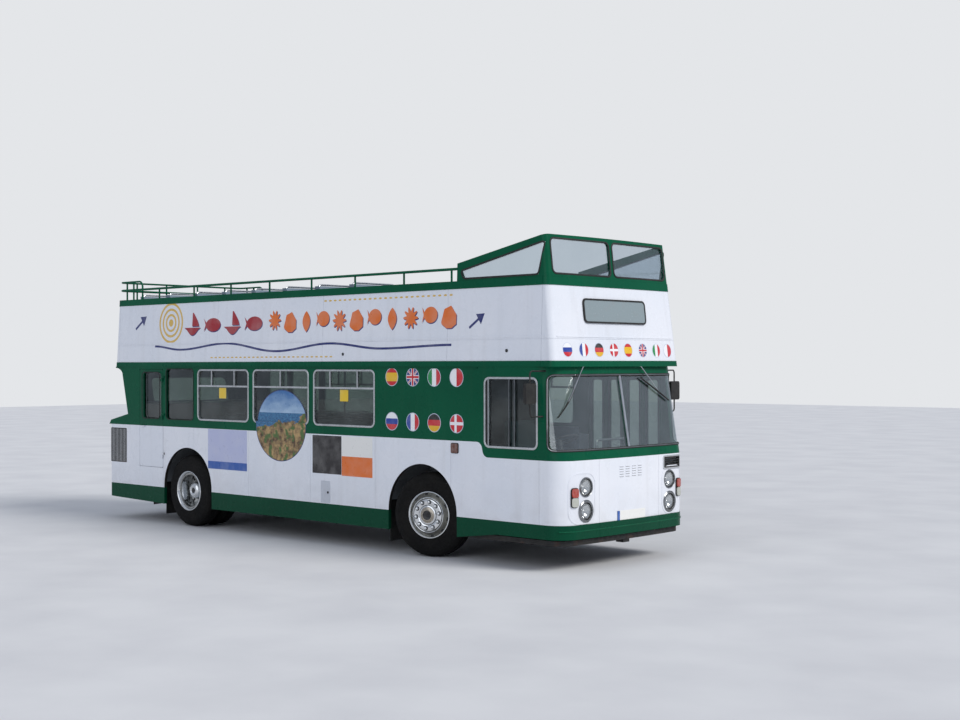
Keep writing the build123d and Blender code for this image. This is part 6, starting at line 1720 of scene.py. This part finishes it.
# Rail behind the windscreen: its place along the bus, its ends across, its foot and its top
CAB_RAIL = (4.33, -0.26, 0.36, 1.10, 1.475)


def cab_details():
    """Tubular rail behind the windscreen."""
    x, y0, y1, foot, top = CAB_RAIL
    rail = bent_tube([(x, y0, foot), (x, y0, top), (x, y1, top), (x, y1, foot)], 0.05, 0.014, 12)
    piece("cab_rail", rail, "rail_steel")


def set_camera():
    """The photograph's camera: its axes are the view direction turned by the roll."""
    yaw, pitch, roll = (math.radians(a) for a in (CAMERA_YAW, CAMERA_PITCH, CAMERA_ROLL))
    ahead = Vector((math.cos(yaw) * math.cos(pitch), math.sin(yaw) * math.cos(pitch), math.sin(pitch)))
    level = Vector((math.sin(yaw), -math.cos(yaw), 0))
    above = level.cross(ahead)
    right = math.cos(roll) * level + math.sin(roll) * above
    up = math.cos(roll) * above - math.sin(roll) * level
    data = bpy.data.cameras.new("camera")
    data.sensor_width = SENSOR_WIDTH
    data.lens = CAMERA_LENS
    data.clip_end = 200.0
    camera = bpy.data.objects.new("camera", data)
    bpy.context.scene.collection.objects.link(camera)
    turned = Matrix((right, up, -ahead)).transposed().to_4x4()
    turned.translation = Vector(CAMERA_PLACE)
    camera.matrix_world = turned
    bpy.context.scene.camera = camera


def set_stage():
    """A pale floor under the wheels, with a faint mottle."""
    half = 60.0
    corners = [(-half, -half, 0), (half, -half, 0), (half, half, 0), (-half, half, 0)]
    mesh = bpy.data.meshes.new("studio_floor")
    mesh.from_pydata(corners, [], [(0, 1, 2, 3)])
    floor = bpy.data.objects.new("studio_floor", mesh)
    bpy.context.scene.collection.objects.link(floor)
    f = Finish("floor_finish", srgb("D9D9DA"), 0.8)
    f.colour(f.mix(f.ramp(f.noise(0.8, 6), 0.35, 0.7), srgb("D9D9DA"), srgb("CFCFD1")))
    mesh.materials.append(f.material)


def sun(name, strength, place, aim, width, colour):
    """A broad sun lamp whose light comes from a place towards its aim; the width is an angle in degrees."""
    data = bpy.data.lights.new(name, "SUN")
    data.energy = strength
    data.color = colour
    data.angle = math.radians(width)
    light = bpy.data.objects.new(name, data)
    bpy.context.scene.collection.objects.link(light)
    light.location = place
    light.rotation_euler = (Vector(aim) - Vector(place)).to_track_quat("-Z", "Y").to_euler()


def set_light():
    """Even light from a pale world, with a broad key from ahead and above and a weak fill from the right."""
    world = bpy.data.worlds.new("studio")
    bpy.context.scene.world = world
    world.use_nodes = True
    tree = world.node_tree
    tree.nodes.clear()
    out = tree.nodes.new("ShaderNodeOutputWorld")
    seen = tree.nodes.new("ShaderNodeBackground")
    seen.inputs["Color"].default_value = srgb("E4E6E9")
    ambient = tree.nodes.new("ShaderNodeBackground")
    ambient.inputs["Color"].default_value = srgb("E0E9FA")
    ambient.inputs["Strength"].default_value = 0.55
    path = tree.nodes.new("ShaderNodeLightPath")
    either = tree.nodes.new("ShaderNodeMath")
    either.operation = "MAXIMUM"
    tree.links.new(path.outputs["Is Camera Ray"], either.inputs[0])
    tree.links.new(path.outputs["Is Transmission Ray"], either.inputs[1])
    blend = tree.nodes.new("ShaderNodeMixShader")
    tree.links.new(either.outputs[0], blend.inputs["Fac"])
    tree.links.new(ambient.outputs[0], blend.inputs[1])
    tree.links.new(seen.outputs[0], blend.inputs[2])
    tree.links.new(blend.outputs[0], out.inputs["Surface"])
    sun("key", 2.15, (9.0, 2.0, 9.0), (0, 0, 1.5), 25, (1.0, 0.98, 0.95))
    sun("fill", 0.55, (2.0, -12.0, 7.0), (0, 0, 1.5), 50, (0.94, 0.96, 1.0))


dress_nodes()
tyres_and_wheels()
headlamps()
corner_lamps()
side_lamps()
rear_lamps()
window_seals()
windscreen_seals()
emergency_door_seal()
window_frames()
flags()
side_artwork()
side_pictures()
seats()
wipers()
mirror_glasses()
number_plates()
nose_details()
side_details()
tail_fillet()
engine_cover_handle()
door_trim()
cab_details()
set_camera()
set_stage()
set_light()
bpy.context.scene.view_settings.view_transform = "Standard"
